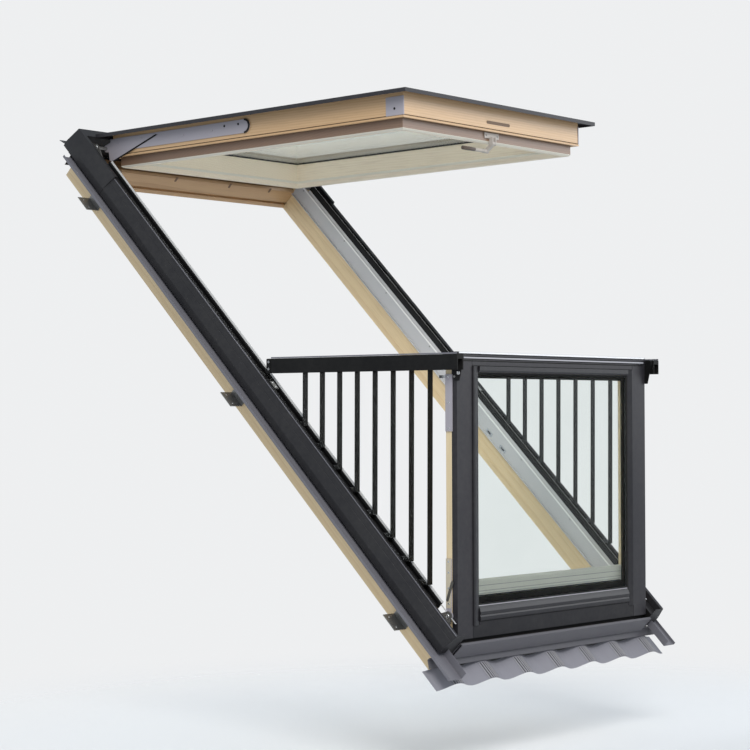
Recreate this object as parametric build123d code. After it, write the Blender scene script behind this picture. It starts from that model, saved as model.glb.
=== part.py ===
# A balcony roof window for a tiled roof, shown with both of its sashes open.
# The lower sash stands upright as a glazed parapet. A handrail with balusters
# unfolds from the frame's guide rail on each side of it. The upper sash hangs
# from the head of the frame and is raised to a canopy.
#
# Row frame: +X runs to the right along the eaves, +Y into the roof, +Z up.
# The origin is on the back face of the frame's sill, at its middle.
# Flat roof coordinates are (x, s, n): s climbs the slope and n points out of it.
from build123d import *
from math import asin, cos, hypot, pi, radians, sin, tan
import os

# Timber frame in the roof
roof_pitch = 45.0
frame_width = 1240.0
frame_length = 2520.0
frame_depth = 146.0
side_timber = 40.0
sill_width = 60.0
sill_drop = 68.0
head_width = 60.0
head_drop = 50.0
timber_chamfer = 8.0
board_groove_width = 12.0
board_groove_depth = 10.0
board_groove_rise = 18.0

# Where the sashes turn
pivot_rise = 18.0
lower_pivot_setback = 34.0
upper_hinge_setback = 24.0
upper_open_angle = 46.0

# Lower sash, measured upright: w is the depth behind its front, z the height
sash_side_gap = 5.0
lower_height = 955.0
lower_depth = 46.0
lower_pivot_depth = 35.0
lower_pivot_height = 78.0
lower_glass_depth = 6.0
stile_cladding_width = 83.0
stile_sight_width = 119.0
bottom_cladding_height = 52.0
bottom_bead_overlap = 11.0
bottom_sight_height = 108.0
top_sight_height = 70.0
top_cap_height = 24.0
top_cap_width = 28.0
top_ridge_depth = 3.0
top_plate_height = 21.0
bead_proud = 6.0
bead_groove = 2.0
glass_edge_cover = 30.0
stile_inner_width = 115.0
rail_inner_rise = 24.0
inner_profile_height = 58.0
inner_profile_depth = 20.0
cladding_return = 22.0
cladding_gap = 2.0

# Upper sash, measured closed: d is the distance in from its edge
sash_gap = 6.0
upper_overhang = 14.0
upper_depth = 73.0
upper_lip_depth = 111.0
upper_rise = 18.0
upper_timber_inset = 45.0
upper_face_width = 14.0
upper_groove_width = 10.0
upper_member_width = 104.0
upper_glass_seat = 86.0
upper_glass_drop = 8.0
upper_cladding_width = 96.0
upper_edge_drop = 14.0
upper_side_recess = 2.0
upper_fitting_drop = 4.0

# Sealed glazing units
pane_thickness = 4.0
glazing_thickness = 24.0
spacer_width = 8.0
glass_clearance = 2.0

# Sheet metal
cladding_thickness = 2.0
cover_thickness = 1.5
flashing_thickness = 1.2
lining_thickness = 2.0
lining_drop = 66.0
lining_lip = 9.0

# Side covers, head cover, sill cover and flashings
cover_below_rail = 1.0
cover_top_width = 13.0
cover_spread = 35.0
cover_shoulder_drop = 25.0
cover_foot_drop = 50.0
cover_leg_drop = 28.0
cover_groove_width = 3.0
cover_groove_depth = 0.8
toe_plate_length = 64.0
hood_above_rail = 8.5
hood_overlap = 225.0
hood_gap = 17.0
hood_reach = 58.0
hood_tail = 32.0
hood_tail_drop = 40.0
sill_cover_reach = 11.0
sill_cover_drop = 10.0
sill_cover_lap = 6.0
sill_upstand_width = 6.0
flashing_drop = 62.0
flashing_width = 70.0
flashing_hem = 10.0
flashing_leg_height = 28.0
flashing_tail = 105.0
tray_length = 22.0
tray_back_drop = 12.0
tray_front_drop = 26.0
tray_rim = 3.0
apron_length = 84.0
apron_overlap = 10.0
apron_waves = 7
apron_height = 24.0
apron_steps = 12
pleat_count = 5
pleat_spacing = 11.0
pleat_width = 4.0
pleat_height = 1.5
seat_gap = 0.3

# Brackets that hold the frame to the roof
bracket_count = 3
bracket_first = 200.0
bracket_length = 70.0
bracket_reach = 60.0
bracket_leg_gap = 14.0
bracket_thickness = 3.0
bracket_rise = 22.0
bracket_hole_radius = 3.5
bracket_hole_spacing = 44.0
bracket_hole_reach = 40.0

# Hinge hardware
plate_thickness = 5.0
plate_gap = 1.0
strap_thickness = 4.0
lower_pin_radius = 5.0
lower_eye_radius = 16.0
lower_strap_length = 190.0
lower_strap_width = 22.0
lower_foot_length = 56.0
lower_foot_width = 29.0
hinge_foot_thickness = 4.0
upper_pin_radius = 6.0
upper_eye_radius = 14.0
upper_arm_length = 755.0
upper_arm_width = 50.0
upper_plate_length = 110.0
pin_clearance = 0.05
pin_engagement = 8.0
lock_strip_length = 190.0
lock_strip_width = 28.0
lock_strip_top = 75.0
corner_plate_length = 78.0
corner_plate_return = 4.0

# Window handle
handle_base_length = 84.0
handle_base_height = 20.0
handle_base_rise = 16.0
handle_base_thickness = 5.0
handle_pin_reach = 9.0
handle_pin_drop = 2.0
handle_ear_thickness = 4.0
handle_ear_width = 16.0
handle_neck_width = 14.0
handle_neck_length = 38.0
handle_grip_length = 150.0
handle_grip_radius = 6.5
handle_collar_radius = 8.0
handle_collar_length = 14.0
handle_pin_radius = 2.5
handle_rest_angle = 50.0

# Guide rails and the folding balustrade. In the handrail's frame u runs to
# the rear from the front pin and v is up. Folded, the handrail lies along the
# slope, and every foot stays at the height of the sash pivot.
rail_edge_gap = 2.0
guide_width = 38.0
guide_slot = 26.0
guide_groove_depth = 4.0
guide_lip = 11.0
guide_floor = 3.0
guide_start = 46.0
guide_end_gap = 10.0
groove_clearance = 0.1
handrail_width = 34.0
handrail_height = 52.0
handrail_wall = 4.0
handrail_pin_drop = 12.0
handrail_front = 12.0
handrail_rear_setback = 22.0
handrail_round = 4.0
handrail_pin_below_top = 21.0
front_pin_radius = 4.0
fold_clearance = 1.5
tongue_width = 10.0
tongue_eye_radius = 7.0
tongue_root = 46.0
shoe_length = 40.0
shoe_tail = 72.0
shoe_side_gap = 0.5
shoe_floor = 5.0
shoe_top_gap = 1.0
foot_pin_radius = 3.0
baluster_count = 8
baluster_first = 109.0
baluster_last = 190.0
baluster_pin_fall = 33.7
baluster_lean = 0.4
baluster_width = 24.0
baluster_thickness = 3.5
top_pin_radius = 2.0
top_eye_radius = 2.2
foot_disc_radius = 14.5
blind_hole_wall = 1.0
pin_end_gap = 0.3
cap_thickness = 5.0
bracket_ear_radius = 12.0
rail_bracket_length = 76.0

# Places that follow from the sizes
frame_half = frame_width / 2
opening_half = frame_half - side_timber
sash_half = opening_half - sash_side_gap
frame_bottom = -sill_width / 2
frame_top = frame_bottom + frame_length
sill_inner = sill_width / 2
head_inner = frame_top - head_width
pivot_n = frame_depth + pivot_rise
lower_pivot_s = sill_inner + lower_pivot_setback
upper_hinge_s = frame_top - upper_hinge_setback
sash_top_n = pivot_n + lower_pivot_depth
lower_end_s = lower_pivot_s - lower_pivot_height + lower_height
upper_front_s = lower_end_s + sash_gap
upper_rear_s = upper_hinge_s + upper_overhang
rail_centre = opening_half + rail_edge_gap + guide_width / 2
rail_top = pivot_n + guide_lip
sill_height = frame_depth - sill_drop
head_height = frame_depth - head_drop
cover_top = rail_top - cover_below_rail
cover_shoulder = frame_depth - cover_shoulder_drop
cover_foot = frame_depth - cover_foot_drop
hood_top = rail_top + hood_above_rail
flashing_floor = frame_depth - flashing_drop
flashing_leg = flashing_floor + flashing_leg_height
bracket_leg = flashing_floor - bracket_rise - bracket_leg_gap
tray_front = sill_height - tray_front_drop
on_roof = Rot(X=roof_pitch)


def roof_point(s, n):
    """Row coordinates (y, z) of a point of the roof's s, n plane."""
    a = radians(roof_pitch)
    return s * cos(a) - n * sin(a), s * sin(a) + n * cos(a)


def shifted(path, offset):
    """The path moved to its left by offset, with mitred corners."""
    normals = []
    for (u0, v0), (u1, v1) in zip(path, path[1:]):
        length = hypot(u1 - u0, v1 - v0)
        normals.append(((v0 - v1) / length, (u1 - u0) / length))
    moved = []
    for i, (u, v) in enumerate(path):
        a = normals[max(i - 1, 0)]
        b = normals[min(i, len(normals) - 1)]
        scale = offset / (1 + a[0] * b[0] + a[1] * b[1])
        moved.append((u + scale * (a[0] + b[0]), v + scale * (a[1] + b[1])))
    return moved


def folded(path, left=0.0, right=0.0):
    """Outline of a sheet bent along a path, with its thickness to one side or both."""
    return shifted(path, left) + shifted(path, -right)[::-1]


def along_y(outline, start, end):
    """Extrude an (x, z) outline along Y, which is up the slope on a flat roof piece."""
    plane = Plane((0, start, 0), x_dir=(1, 0, 0), z_dir=(0, -1, 0))
    return extrude(plane * make_face(Polyline(*outline, close=True)), amount=end - start, dir=(0, 1, 0))


def along_x(outline, start, end):
    """Extrude a (y, z) outline along X."""
    plane = Plane((start, 0, 0), x_dir=(0, 1, 0), z_dir=(1, 0, 0))
    return extrude(plane * make_face(Polyline(*outline, close=True)), amount=end - start, dir=(1, 0, 0))


def along_z(outline, start, end):
    """Extrude an (x, y) outline along Z."""
    plane = Plane((0, 0, start), x_dir=(1, 0, 0), z_dir=(0, 0, 1))
    return extrude(plane * make_face(Polyline(*outline, close=True)), amount=end - start, dir=(0, 0, 1))


def block(x, y, z):
    """A box from three (low, high) pairs."""
    size = [high - low for low, high in (x, y, z)]
    middle = [(low + high) / 2 for low, high in (x, y, z)]
    return Pos(*middle) * Box(*size)


def rod(radius, start, end, y, z):
    """A cylinder along X."""
    return Pos((start + end) / 2, y, z) * Rot(Y=90) * Cylinder(radius, end - start)


def both(shape):
    """A right-hand piece with its left-hand twin."""
    return [shape, mirror(shape, about=Plane.YZ)]


def rect(u0, v0, u1, v1):
    return [(u0, v0), (u1, v0), (u1, v1), (u0, v1)]


# Frame

def board_groove(face, inward):
    """Corner points of the groove for the room's lining board, on a frame member's inner face."""
    low, high = board_groove_rise, board_groove_rise + board_groove_width
    deep = face + inward * board_groove_depth
    return [(face, low), (deep, low), (deep, high), (face, high)]


def frame_side():
    outline = [(frame_half, 0), (opening_half, 0)] + board_groove(opening_half, 1)
    outline += [(opening_half, frame_depth), (frame_half, frame_depth)]
    return along_y(outline, frame_bottom, frame_top)


def frame_sill():
    outline = [(frame_bottom, 0), (sill_inner, 0)] + board_groove(sill_inner, -1)
    outline += [(sill_inner, sill_height - timber_chamfer), (sill_inner - timber_chamfer, sill_height)]
    outline += [(frame_bottom, sill_height)]
    return along_x(outline, -opening_half, opening_half)


def frame_head():
    outline = [(frame_top, 0), (head_inner, 0)] + board_groove(head_inner, 1)
    outline += [(head_inner, head_height - timber_chamfer), (head_inner + timber_chamfer, head_height)]
    outline += [(frame_top, head_height)]
    return along_x(outline, -opening_half, opening_half)


def rail_edge():
    """Strip that closes the inner side of a guide rail."""
    start, end = guide_ends()
    return block((opening_half + seat_gap, opening_half + rail_edge_gap), (start, end), (frame_depth, rail_top))


def side_lining():
    """Aluminium strip on the upper part of a side timber's inner face."""
    low = frame_depth - lining_drop
    path = [(opening_half - lining_lip, low), (opening_half, low), (opening_half, frame_depth)]
    return along_y(folded(path, left=lining_thickness), sill_inner, head_inner)


def guide_ends():
    """Where the guide rails and their edge strips start and end along the slope."""
    end = upper_hinge_s + upper_hinge_setback - upper_plate_length - guide_end_gap
    return lower_pivot_s + guide_start, end


def guide_rail():
    """Slotted rail on top of a side timber, with a groove for the foot pins in each wall."""
    outer, slot = guide_width / 2, guide_slot / 2
    groove, reach = foot_pin_radius + groove_clearance, guide_slot / 2 + guide_groove_depth
    half = [(outer, frame_depth), (outer, rail_top), (slot, rail_top), (slot, pivot_n + groove)]
    half += [(reach, pivot_n + groove), (reach, pivot_n - groove), (slot, pivot_n - groove)]
    half += [(slot, frame_depth + guide_floor)]
    outline = [(rail_centre + u, n) for u, n in half] + [(rail_centre - u, n) for u, n in half[::-1]]
    return along_y(outline, *guide_ends())


# Outer side of a side cover: up beside the guide rail, over and down to the roof
cover_path = [
    (frame_half, frame_depth - cover_leg_drop),
    (frame_half, cover_top),
    (frame_half + cover_top_width, cover_top),
    (frame_half + cover_spread, cover_shoulder),
    (frame_half + cover_spread, cover_foot),
]


def side_cover():
    """Folded cover with two shallow grooves down its sloping face."""
    cover = along_y(folded(cover_path, right=cover_thickness), frame_bottom, frame_top)
    (x0, n0), (x1, n1) = cover_path[2], cover_path[3]
    slope = hypot(x1 - x0, n1 - n0)
    out = ((n0 - n1) / slope, (x1 - x0) / slope)
    for share in (0.12, 0.42):
        middle = x0 + share * (x1 - x0), n0 + share * (n1 - n0)
        step = cover_groove_width / 2 / slope
        a = middle[0] - step * (x1 - x0), middle[1] - step * (n1 - n0)
        b = middle[0] + step * (x1 - x0), middle[1] + step * (n1 - n0)
        deep = middle[0] - cover_groove_depth * out[0], middle[1] - cover_groove_depth * out[1]
        proud = middle[0] + out[0], middle[1] + out[1]
        cover -= along_y([a, deep, b, proud], frame_bottom, frame_top)
    near, gap = opening_half + plate_gap, flashing_thickness + seat_gap
    end = [(near, sill_height), (frame_half - seat_gap, sill_height), (frame_half - seat_gap, flashing_leg + seat_gap),
           (frame_half + gap, flashing_leg + seat_gap), (frame_half + gap, cover_foot)]
    end += [(x1, cover_foot), (x1, n1), (x0, n0), (near, n0)]
    cover += along_y(end, frame_bottom - cover_thickness, frame_bottom)
    toe = block((near, frame_half), (frame_bottom - cover_thickness, frame_bottom + toe_plate_length),
                (frame_depth, frame_depth + cover_thickness))
    return cover + toe


def head_cover():
    """Hood over the head, with cheeks that lap over the tops of the side covers."""
    end = frame_top + hood_reach
    under = hood_top - cover_thickness
    cheek_path = [(frame_half, under), (frame_half + cover_top_width, under)] + cover_path[3:]
    cheek = along_y(folded(cheek_path, left=cover_thickness), frame_top - hood_overlap, end)
    skin = shifted(cheek_path, cover_thickness)
    half = [(x, n) for x, n in skin] + [(skin[-1][0], 0)]
    envelope = along_y([(-x, n) for x, n in half[::-1]] + half, frame_top, end + hood_tail)
    foot = frame_depth - hood_tail_drop
    path = [
        (frame_top, head_height / 2),
        (frame_top, head_height),
        (frame_top + hood_gap, head_height),
        (frame_top + hood_gap, hood_top),
        (end, hood_top),
        (end, foot),
        (end + hood_tail, foot - flashing_hem),
    ]
    width = frame_half + cover_spread + cover_thickness
    crown = along_x(folded(path, right=cover_thickness), -width, width) & envelope
    return crown + cheek + mirror(cheek, about=Plane.YZ)


def sill_cover():
    """Folded cover over the sill, with an upstand in front of the closed sash."""
    front = frame_bottom - sill_cover_reach
    top = frame_depth - sill_cover_drop
    path = [
        (sill_inner - timber_chamfer, sill_height),
        (front + sill_upstand_width, sill_height),
        (front + sill_upstand_width, top),
        (front, top),
        (front, sill_height - sill_cover_lap),
    ]
    half = opening_half - plate_gap
    return along_x(folded(path, right=cover_thickness), -half, half)


def side_flashing():
    """Gutter beside the frame, under the side cover."""
    outer = frame_half + flashing_width
    path = [
        (frame_half, flashing_leg),
        (frame_half, flashing_floor),
        (outer, flashing_floor),
        (outer, flashing_floor + flashing_hem),
    ]
    return along_y(folded(path, left=flashing_thickness), frame_bottom - flashing_tail, frame_top)


def flashing_tray():
    """Sloping tray in front of the sill, with a rim turned down onto the apron."""
    front = frame_bottom - tray_length
    path = [
        (frame_bottom, sill_height - cladding_gap),
        (frame_bottom, sill_height - tray_back_drop),
        (front, tray_front),
        (front, tray_front - tray_rim),
    ]
    width = frame_half + flashing_width
    return along_x(folded(path, right=flashing_thickness), -width, width)


def apron_crest():
    """Upper (x, n) line of the waved apron, with fine pleats pressed into each crest."""
    width = frame_half + flashing_width
    wave = 2 * width / apron_waves
    top = tray_front - tray_rim - pleat_height - seat_gap
    places = []
    for i in range(apron_waves):
        middle = (i + 0.5) * wave - width
        smooth = [wave * (k / apron_steps - 0.5) for k in range(apron_steps)]
        places += [(middle + x, 0) for x in smooth if abs(x) > pleat_count * pleat_spacing / 2]
        for k in range(pleat_count):
            x = middle + pleat_spacing * (k - (pleat_count - 1) / 2)
            places += [(x - pleat_width / 2, 0), (x, pleat_height), (x + pleat_width / 2, 0)]
    places.append((width, 0))
    crest = []
    for x, lift in sorted(places):
        crest.append((x, top + lift - apron_height / 2 * (1 + cos(2 * pi * (x + width) / wave))))
    return crest


def flashing_apron():
    """Waved apron that leads the water from the tray onto the tiles."""
    crest = apron_crest()
    outline = crest + [(x, n - flashing_thickness) for x, n in crest[::-1]]
    start = frame_bottom - tray_length + apron_overlap
    return along_y(outline, start - apron_length, start)


def mounting_bracket(s):
    """Steel angle on the outside of a side timber, with two screw holes for the roof."""
    half = bracket_length / 2
    leg = block((frame_half, frame_half + bracket_thickness), (s - half, s + half),
                (bracket_rise, bracket_rise + bracket_leg))
    foot = block((frame_half, frame_half + bracket_reach), (s - half, s + half),
                 (bracket_rise, bracket_rise + bracket_thickness))
    bracket = leg + foot
    for side in (-1, 1):
        place = Pos(frame_half + bracket_hole_reach, s + side * bracket_hole_spacing / 2, bracket_rise)
        bracket -= place * Cylinder(bracket_hole_radius, 4 * bracket_thickness)
    return bracket


def mounting_brackets():
    pitch = (frame_length - 2 * bracket_first) / (bracket_count - 1)
    pieces = []
    for i in range(bracket_count):
        pieces += both(mounting_bracket(frame_bottom + bracket_first + i * pitch))
    return pieces


def lower_hinge_plate():
    """Plate on a side timber that carries the lower sash's pivot pin."""
    near, far = opening_half + plate_gap, opening_half + plate_gap + plate_thickness
    half, eye = lower_foot_length / 2, lower_eye_radius
    foot = block((near, near + lower_foot_width), (lower_pivot_s - half, lower_pivot_s + half),
                 (frame_depth, frame_depth + hinge_foot_thickness))
    web = along_x([(lower_pivot_s - half, frame_depth), (lower_pivot_s + half, frame_depth),
                   (lower_pivot_s + eye * 0.9, pivot_n + eye * 0.4),
                   (lower_pivot_s - eye * 0.9, pivot_n + eye * 0.4)], near, far)
    web += rod(eye, near, far, lower_pivot_s, pivot_n)
    pin_end = sash_half - pin_engagement + plate_gap
    return foot + web + rod(lower_pin_radius, pin_end, far, lower_pivot_s, pivot_n)


def upper_hinge_plate():
    """Triangular plate on a side timber that carries the upper sash's pivot pin."""
    near, far = opening_half + plate_gap, opening_half + plate_gap + plate_thickness
    start = frame_top - upper_plate_length
    eye = upper_eye_radius
    web = along_x([(start, frame_depth), (frame_top, frame_depth), (frame_top, pivot_n),
                   (upper_hinge_s + eye * 0.6, pivot_n + eye * 0.8),
                   (upper_hinge_s - eye * 0.6, pivot_n + eye * 0.8)], near, far)
    foot = block((near, near + lower_foot_width), (start, frame_top),
                 (frame_depth, frame_depth + hinge_foot_thickness))
    pin_end = sash_half - upper_timber_inset - upper_side_recess + pin_end_gap
    return web + foot + rod(upper_pin_radius, pin_end, far, upper_hinge_s, pivot_n)


# Lower sash, built upright from its own bottom front edge and then placed

pivot_y, pivot_z = roof_point(lower_pivot_s, pivot_n)
place_lower = Pos(0, pivot_y - lower_pivot_depth, pivot_z - lower_pivot_height)
stile_inner = sash_half - stile_inner_width
glass_half = sash_half - stile_sight_width + glass_edge_cover
sight_half = sash_half - stile_sight_width
plate_half = sash_half - stile_cladding_width
bead_half = plate_half - bead_groove
front_half = glass_half + glass_clearance
glass_back = lower_glass_depth + glazing_thickness
glass_low = bottom_sight_height - glass_edge_cover / 2
glass_high = lower_height - top_sight_height + glass_edge_cover / 2
timber_front = cladding_gap + cladding_thickness
timber_top = lower_height - top_cap_height


def lower_stile():
    """Timber stile with the rebate that seats the glazing, and a bore for the pivot pin."""
    step = sash_half - cladding_thickness
    outline = [(step, timber_front), (step, cladding_return), (sash_half, cladding_return)]
    outline += [(sash_half, lower_depth), (stile_inner, lower_depth), (stile_inner, glass_back)]
    outline += [(front_half, glass_back), (front_half, timber_front)]
    stile = along_z(outline, cladding_thickness, timber_top)
    bore = rod(lower_pin_radius + cladding_gap, sash_half - pin_engagement, sash_half,
               lower_pivot_depth, lower_pivot_height)
    return stile - bore


def lower_rail_bottom():
    high = bottom_sight_height + rail_inner_rise
    back = along_x(rect(glass_back, cladding_thickness, lower_depth, high), -stile_inner, stile_inner)
    low = glass_low - glass_clearance
    front = along_x(rect(lower_glass_depth, cladding_thickness, glass_back, low), -front_half, front_half)
    return back + front


def lower_rail_top():
    low = lower_height - top_sight_height - bead_groove * bead_proud
    back = along_x(rect(glass_back, low, lower_depth, timber_top), -stile_inner, stile_inner)
    front = along_x(rect(lower_glass_depth, glass_high + glass_clearance, glass_back, timber_top),
                    -front_half, front_half)
    return back + front


def lower_inner_profile():
    """Rounded aluminium profile on the bottom rail, on the room side of the glass."""
    low = bottom_sight_height + rail_inner_rise
    high = low + inner_profile_height
    near = glass_back + bead_groove
    bar = block((-stile_inner, stile_inner), (near, near + inner_profile_depth), (low, high))
    edges = bar.edges().filter_by(Axis.X).group_by(Axis.Z)[-1]
    return fillet(edges, inner_profile_depth * 0.4)


def lower_side_cladding():
    path = [
        (sash_half, cladding_return),
        (sash_half, 0),
        (plate_half, 0),
        (plate_half, timber_front),
    ]
    return along_z(folded(path, right=cladding_thickness), 0, timber_top)


def lower_top_cladding():
    """Front plate and a ridged cap over the top rail."""
    proud, dip = -top_ridge_depth, top_cap_height / 12
    path = [(0, timber_top - top_plate_height), (0, timber_top), (proud, timber_top + dip)]
    for share in (0.33, 0.70):
        z = timber_top + share * top_cap_height
        path += [(proud, z - dip), (0, z), (proud, z + dip)]
    path += [(proud, lower_height - dip), (0, lower_height), (top_cap_width, lower_height),
             (top_cap_width, timber_top)]
    cap = along_x(folded(path, right=cladding_thickness), -sash_half, sash_half)
    for side in (-1, 1):
        x = sorted((side * bead_half, side * (sash_half + 1)))
        cap -= block(x, (proud, top_cap_width), (0, timber_top))
    return cap


def lower_bottom_cladding():
    path = [
        (0, bottom_cladding_height),
        (0, 0),
        (lower_depth - cladding_return, 0),
    ]
    plate = along_x(folded(path, left=cladding_thickness), -bead_half, bead_half)
    low = bottom_cladding_height - bottom_bead_overlap - seat_gap
    for side in (-1, 1):
        x = sorted((side * (sight_half - seat_gap), side * (bead_half + 1)))
        plate -= block(x, (-1, timber_front), (low, bottom_cladding_height + 1))
    return plate


def glazing_beads():
    """Profiled frame over the glass edge: two side beads and the shaped beads between them."""
    proud, face = -bead_proud, lower_glass_depth
    seat = (glass_half, face), (glass_half, timber_front)
    side = [(bead_half, timber_front), (bead_half, proud / 2), (bead_half - 3, proud)]
    side += [(bead_half - 10, proud), (sight_half + 3, 0), (sight_half, face)]
    side += list(seat)
    low = bottom_cladding_height - bottom_bead_overlap
    high = timber_top - top_plate_height - bead_groove
    edge, ridge = bottom_cladding_height + bead_groove, (bottom_sight_height - bottom_cladding_height) / 4
    bottom = [(timber_front, edge), (proud / 2, edge), (proud, edge + 4), (proud, edge + ridge)]
    bottom += [(proud / 2, edge + ridge + 5), (proud, edge + ridge + 10), (proud, edge + 2.2 * ridge)]
    bottom += [(proud / 3, edge + 3 * ridge), (face, bottom_sight_height), (face, glass_low)]
    bottom += [(timber_front, glass_low)]
    sight = lower_height - top_sight_height
    top = [(face, sight), (proud / 3, sight + 3), (proud, sight + 9), (proud, high)]
    top += [(timber_front, high), (timber_front, glass_high), (face, glass_high)]
    pieces = both(along_z(side, low, high))
    pieces.append(along_x(bottom, -sight_half, sight_half))
    pieces.append(along_x(top, -sight_half, sight_half))
    return pieces


def panes(half, low, high, near):
    """Two glass panes and, apart, the spacer that joins them; depth along Y, height along Z."""
    far = near + glazing_thickness
    x, z = (-half, half), (low, high)
    glass = [block(x, (near, near + pane_thickness), z), block(x, (far - pane_thickness, far), z)]
    gap = (near + pane_thickness, far - pane_thickness)
    inset = spacer_width / 2
    ring = block((-half + inset, half - inset), gap, (low + inset, high - inset))
    inset += spacer_width
    ring -= block((-half + inset, half - inset), gap, (low + inset, high - inset))
    return glass, ring


def side_straps():
    """Pivot strap at the foot and lock strip at the top of a stile's outer side."""
    x0, x1 = sash_half, sash_half + strap_thickness
    w, z, half = lower_pivot_depth, lower_pivot_height, lower_strap_width / 2
    strap = along_x(rect(w - half, z, w + half, z + lower_strap_length), x0, x1)
    strap += rod(lower_eye_radius, x0, x1, w, z)
    strap -= rod(lower_pin_radius + pin_clearance, x0 - 1, x1 + 1, w, z)
    high = lower_height - lock_strip_top
    strip = along_x(rect(lower_depth - lock_strip_width, high - lock_strip_length, lower_depth, high), x0, x1)
    return strap, strip


# Folding balustrade. The front pin stands off the sash pivot by the vector
# (-pin_offset, pin_height) in the upright sash's (depth, height) directions.
pin_offset = guide_lip + fold_clearance + handrail_height - handrail_pin_drop
pin_height = lower_height - lower_pivot_height - handrail_pin_below_top
last_distance = pin_height - baluster_last
baluster_spacing = (last_distance - baluster_first) / (baluster_count - 1)
baluster_pin_slope = asin(baluster_pin_fall / last_distance)
front_pin_y = pivot_y - pin_offset
front_pin_z = pivot_z + pin_height
handrail_tilt = 2 * roof_pitch - 90
place_handrail = Pos(0, front_pin_y, front_pin_z) * Rot(X=handrail_tilt)


def rail_bracket():
    """Plate on a stile's outer side with the handrail's pivot pin, and a lobe down the sash corner."""
    x0, x1 = sash_half, sash_half + strap_thickness
    w = lower_pivot_depth - pin_offset
    z = lower_pivot_height + pin_height
    eye = bracket_ear_radius
    plate = along_x([(w - eye, z), (w + 1, z + eye), (cladding_return, z + eye), (cladding_return, z - eye),
                     (cladding_return / 3, z - rail_bracket_length),
                     (w + eye / 2, z - rail_bracket_length)], x0, x1)
    plate += rod(eye, x0, x1, w, z)
    end = rail_centre + handrail_width / 2 - blind_hole_wall - pin_end_gap
    return plate + rod(front_pin_radius, x0, end, w, z)


def baluster_places():
    """Distances behind the front pin at which the balusters hang."""
    return [baluster_first + i * baluster_spacing for i in range(baluster_count)]


def top_pin(distance):
    """Handrail coordinates (u, v) of a baluster's top pin."""
    return distance * cos(baluster_pin_slope), -distance * sin(baluster_pin_slope)


def handrail():
    """Channel that is open below, with blind holes for the top pins and a tongue at the rear."""
    end = pin_height - handrail_rear_setback
    top, bottom = handrail_pin_drop, handrail_pin_drop - handrail_height
    half, slot = handrail_width / 2, handrail_width / 2 - handrail_wall
    bar = block((rail_centre - half, rail_centre + half), (-handrail_front, end), (bottom, top))
    bar = fillet(bar.edges().filter_by(Axis.Y).group_by(Axis.Z)[-1], handrail_round)
    ceiling = top - handrail_wall
    bar -= block((rail_centre - slot, rail_centre + slot), (-handrail_front - 1, end + 1), (bottom - 1, ceiling))
    # The tongue leads from the channel down to the cross pin in the rear shoe
    eye, half = tongue_eye_radius, tongue_width / 2
    tongue = along_x([(end - tongue_root, ceiling), (end, ceiling), (end, bottom + handrail_wall),
                      (pin_height + eye, -pin_offset), (pin_height - eye, -pin_offset)],
                     rail_centre - half, rail_centre + half)
    tongue += rod(eye, rail_centre - half, rail_centre + half, pin_height, -pin_offset)
    bar += tongue
    reach = handrail_width / 2 - blind_hole_wall
    bar -= rod(foot_pin_radius + pin_clearance, rail_centre - half - 1, rail_centre + half + 1,
               pin_height, -pin_offset)
    for distance in baluster_places():
        u, v = top_pin(distance)
        bar -= rod(top_pin_radius + pin_clearance, rail_centre - reach, rail_centre + reach, u, v)
    bar -= rod(front_pin_radius + pin_clearance, rail_centre - handrail_width, rail_centre + reach, 0, 0)
    return bar


def rail_cap():
    """Plate that closes the front end of the handrail above the balusters' fold line."""
    half = handrail_width / 2
    top = handrail_pin_drop
    low = top - handrail_height
    slot = handrail_width / 2 - handrail_wall
    front = -handrail_front - cap_thickness
    plate = block((rail_centre - half, rail_centre + half), (front, -handrail_front), (low, top))
    plate = fillet(plate.edges().filter_by(Axis.Y).group_by(Axis.Z)[-1], handrail_round)
    return plate - block((rail_centre - slot, rail_centre + slot), (front - 1, 0), (low - 1, -top / 3))


def rear_shoe():
    """Slider in the guide rail that carries the rear end of the handrail on a cross pin."""
    half = guide_slot / 2 - shoe_side_gap
    floor = frame_depth + guide_floor + seat_gap - pivot_n
    body = block((rail_centre - half, rail_centre + half), (-shoe_tail, shoe_length / 2),
                 (floor, guide_lip - shoe_top_gap))
    slot = tongue_width / 2 + shoe_side_gap
    body -= block((rail_centre - slot, rail_centre + slot), (-shoe_length / 2, shoe_length),
                  (floor + shoe_floor - seat_gap, guide_lip))
    reach = guide_slot / 2 + guide_groove_depth - pin_end_gap
    body += rod(foot_pin_radius, rail_centre - reach, rail_centre + reach, 0, 0)
    inset = foot_pin_radius + shoe_side_gap
    for y in (inset - shoe_tail, shoe_length / 2 - inset):
        for end in (-1, 1):
            x = sorted((rail_centre + end * (half - foot_pin_radius), rail_centre + end * reach))
            body += rod(foot_pin_radius, x[0], x[1], y, 0)
    return body


def baluster(distance):
    """Flat bar on a top pin, with a heel that brings its foot pin into the guide rail."""
    half = baluster_width / 2
    u, v = top_pin(distance)
    drop = pin_height - u
    foot_y = pin_offset + v
    bar_y = drop * tan(radians(baluster_lean))
    path = [(0, 0), (bar_y, -drop), (foot_y, -drop)]
    t = baluster_thickness / 2
    bar = along_x(folded(path, left=t, right=t), rail_centre - half, rail_centre + half)
    bar += rod(top_eye_radius, rail_centre - half, rail_centre + half, 0, 0)
    bar += rod(foot_disc_radius, rail_centre - half, rail_centre + half, foot_y, -drop)
    reach = handrail_width / 2 - blind_hole_wall - pin_end_gap
    bar += rod(top_pin_radius, rail_centre - reach, rail_centre + reach, 0, 0)
    reach = guide_slot / 2 + guide_groove_depth - pin_end_gap
    return bar + rod(foot_pin_radius, rail_centre - reach, rail_centre + reach, foot_y, -drop)


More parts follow.
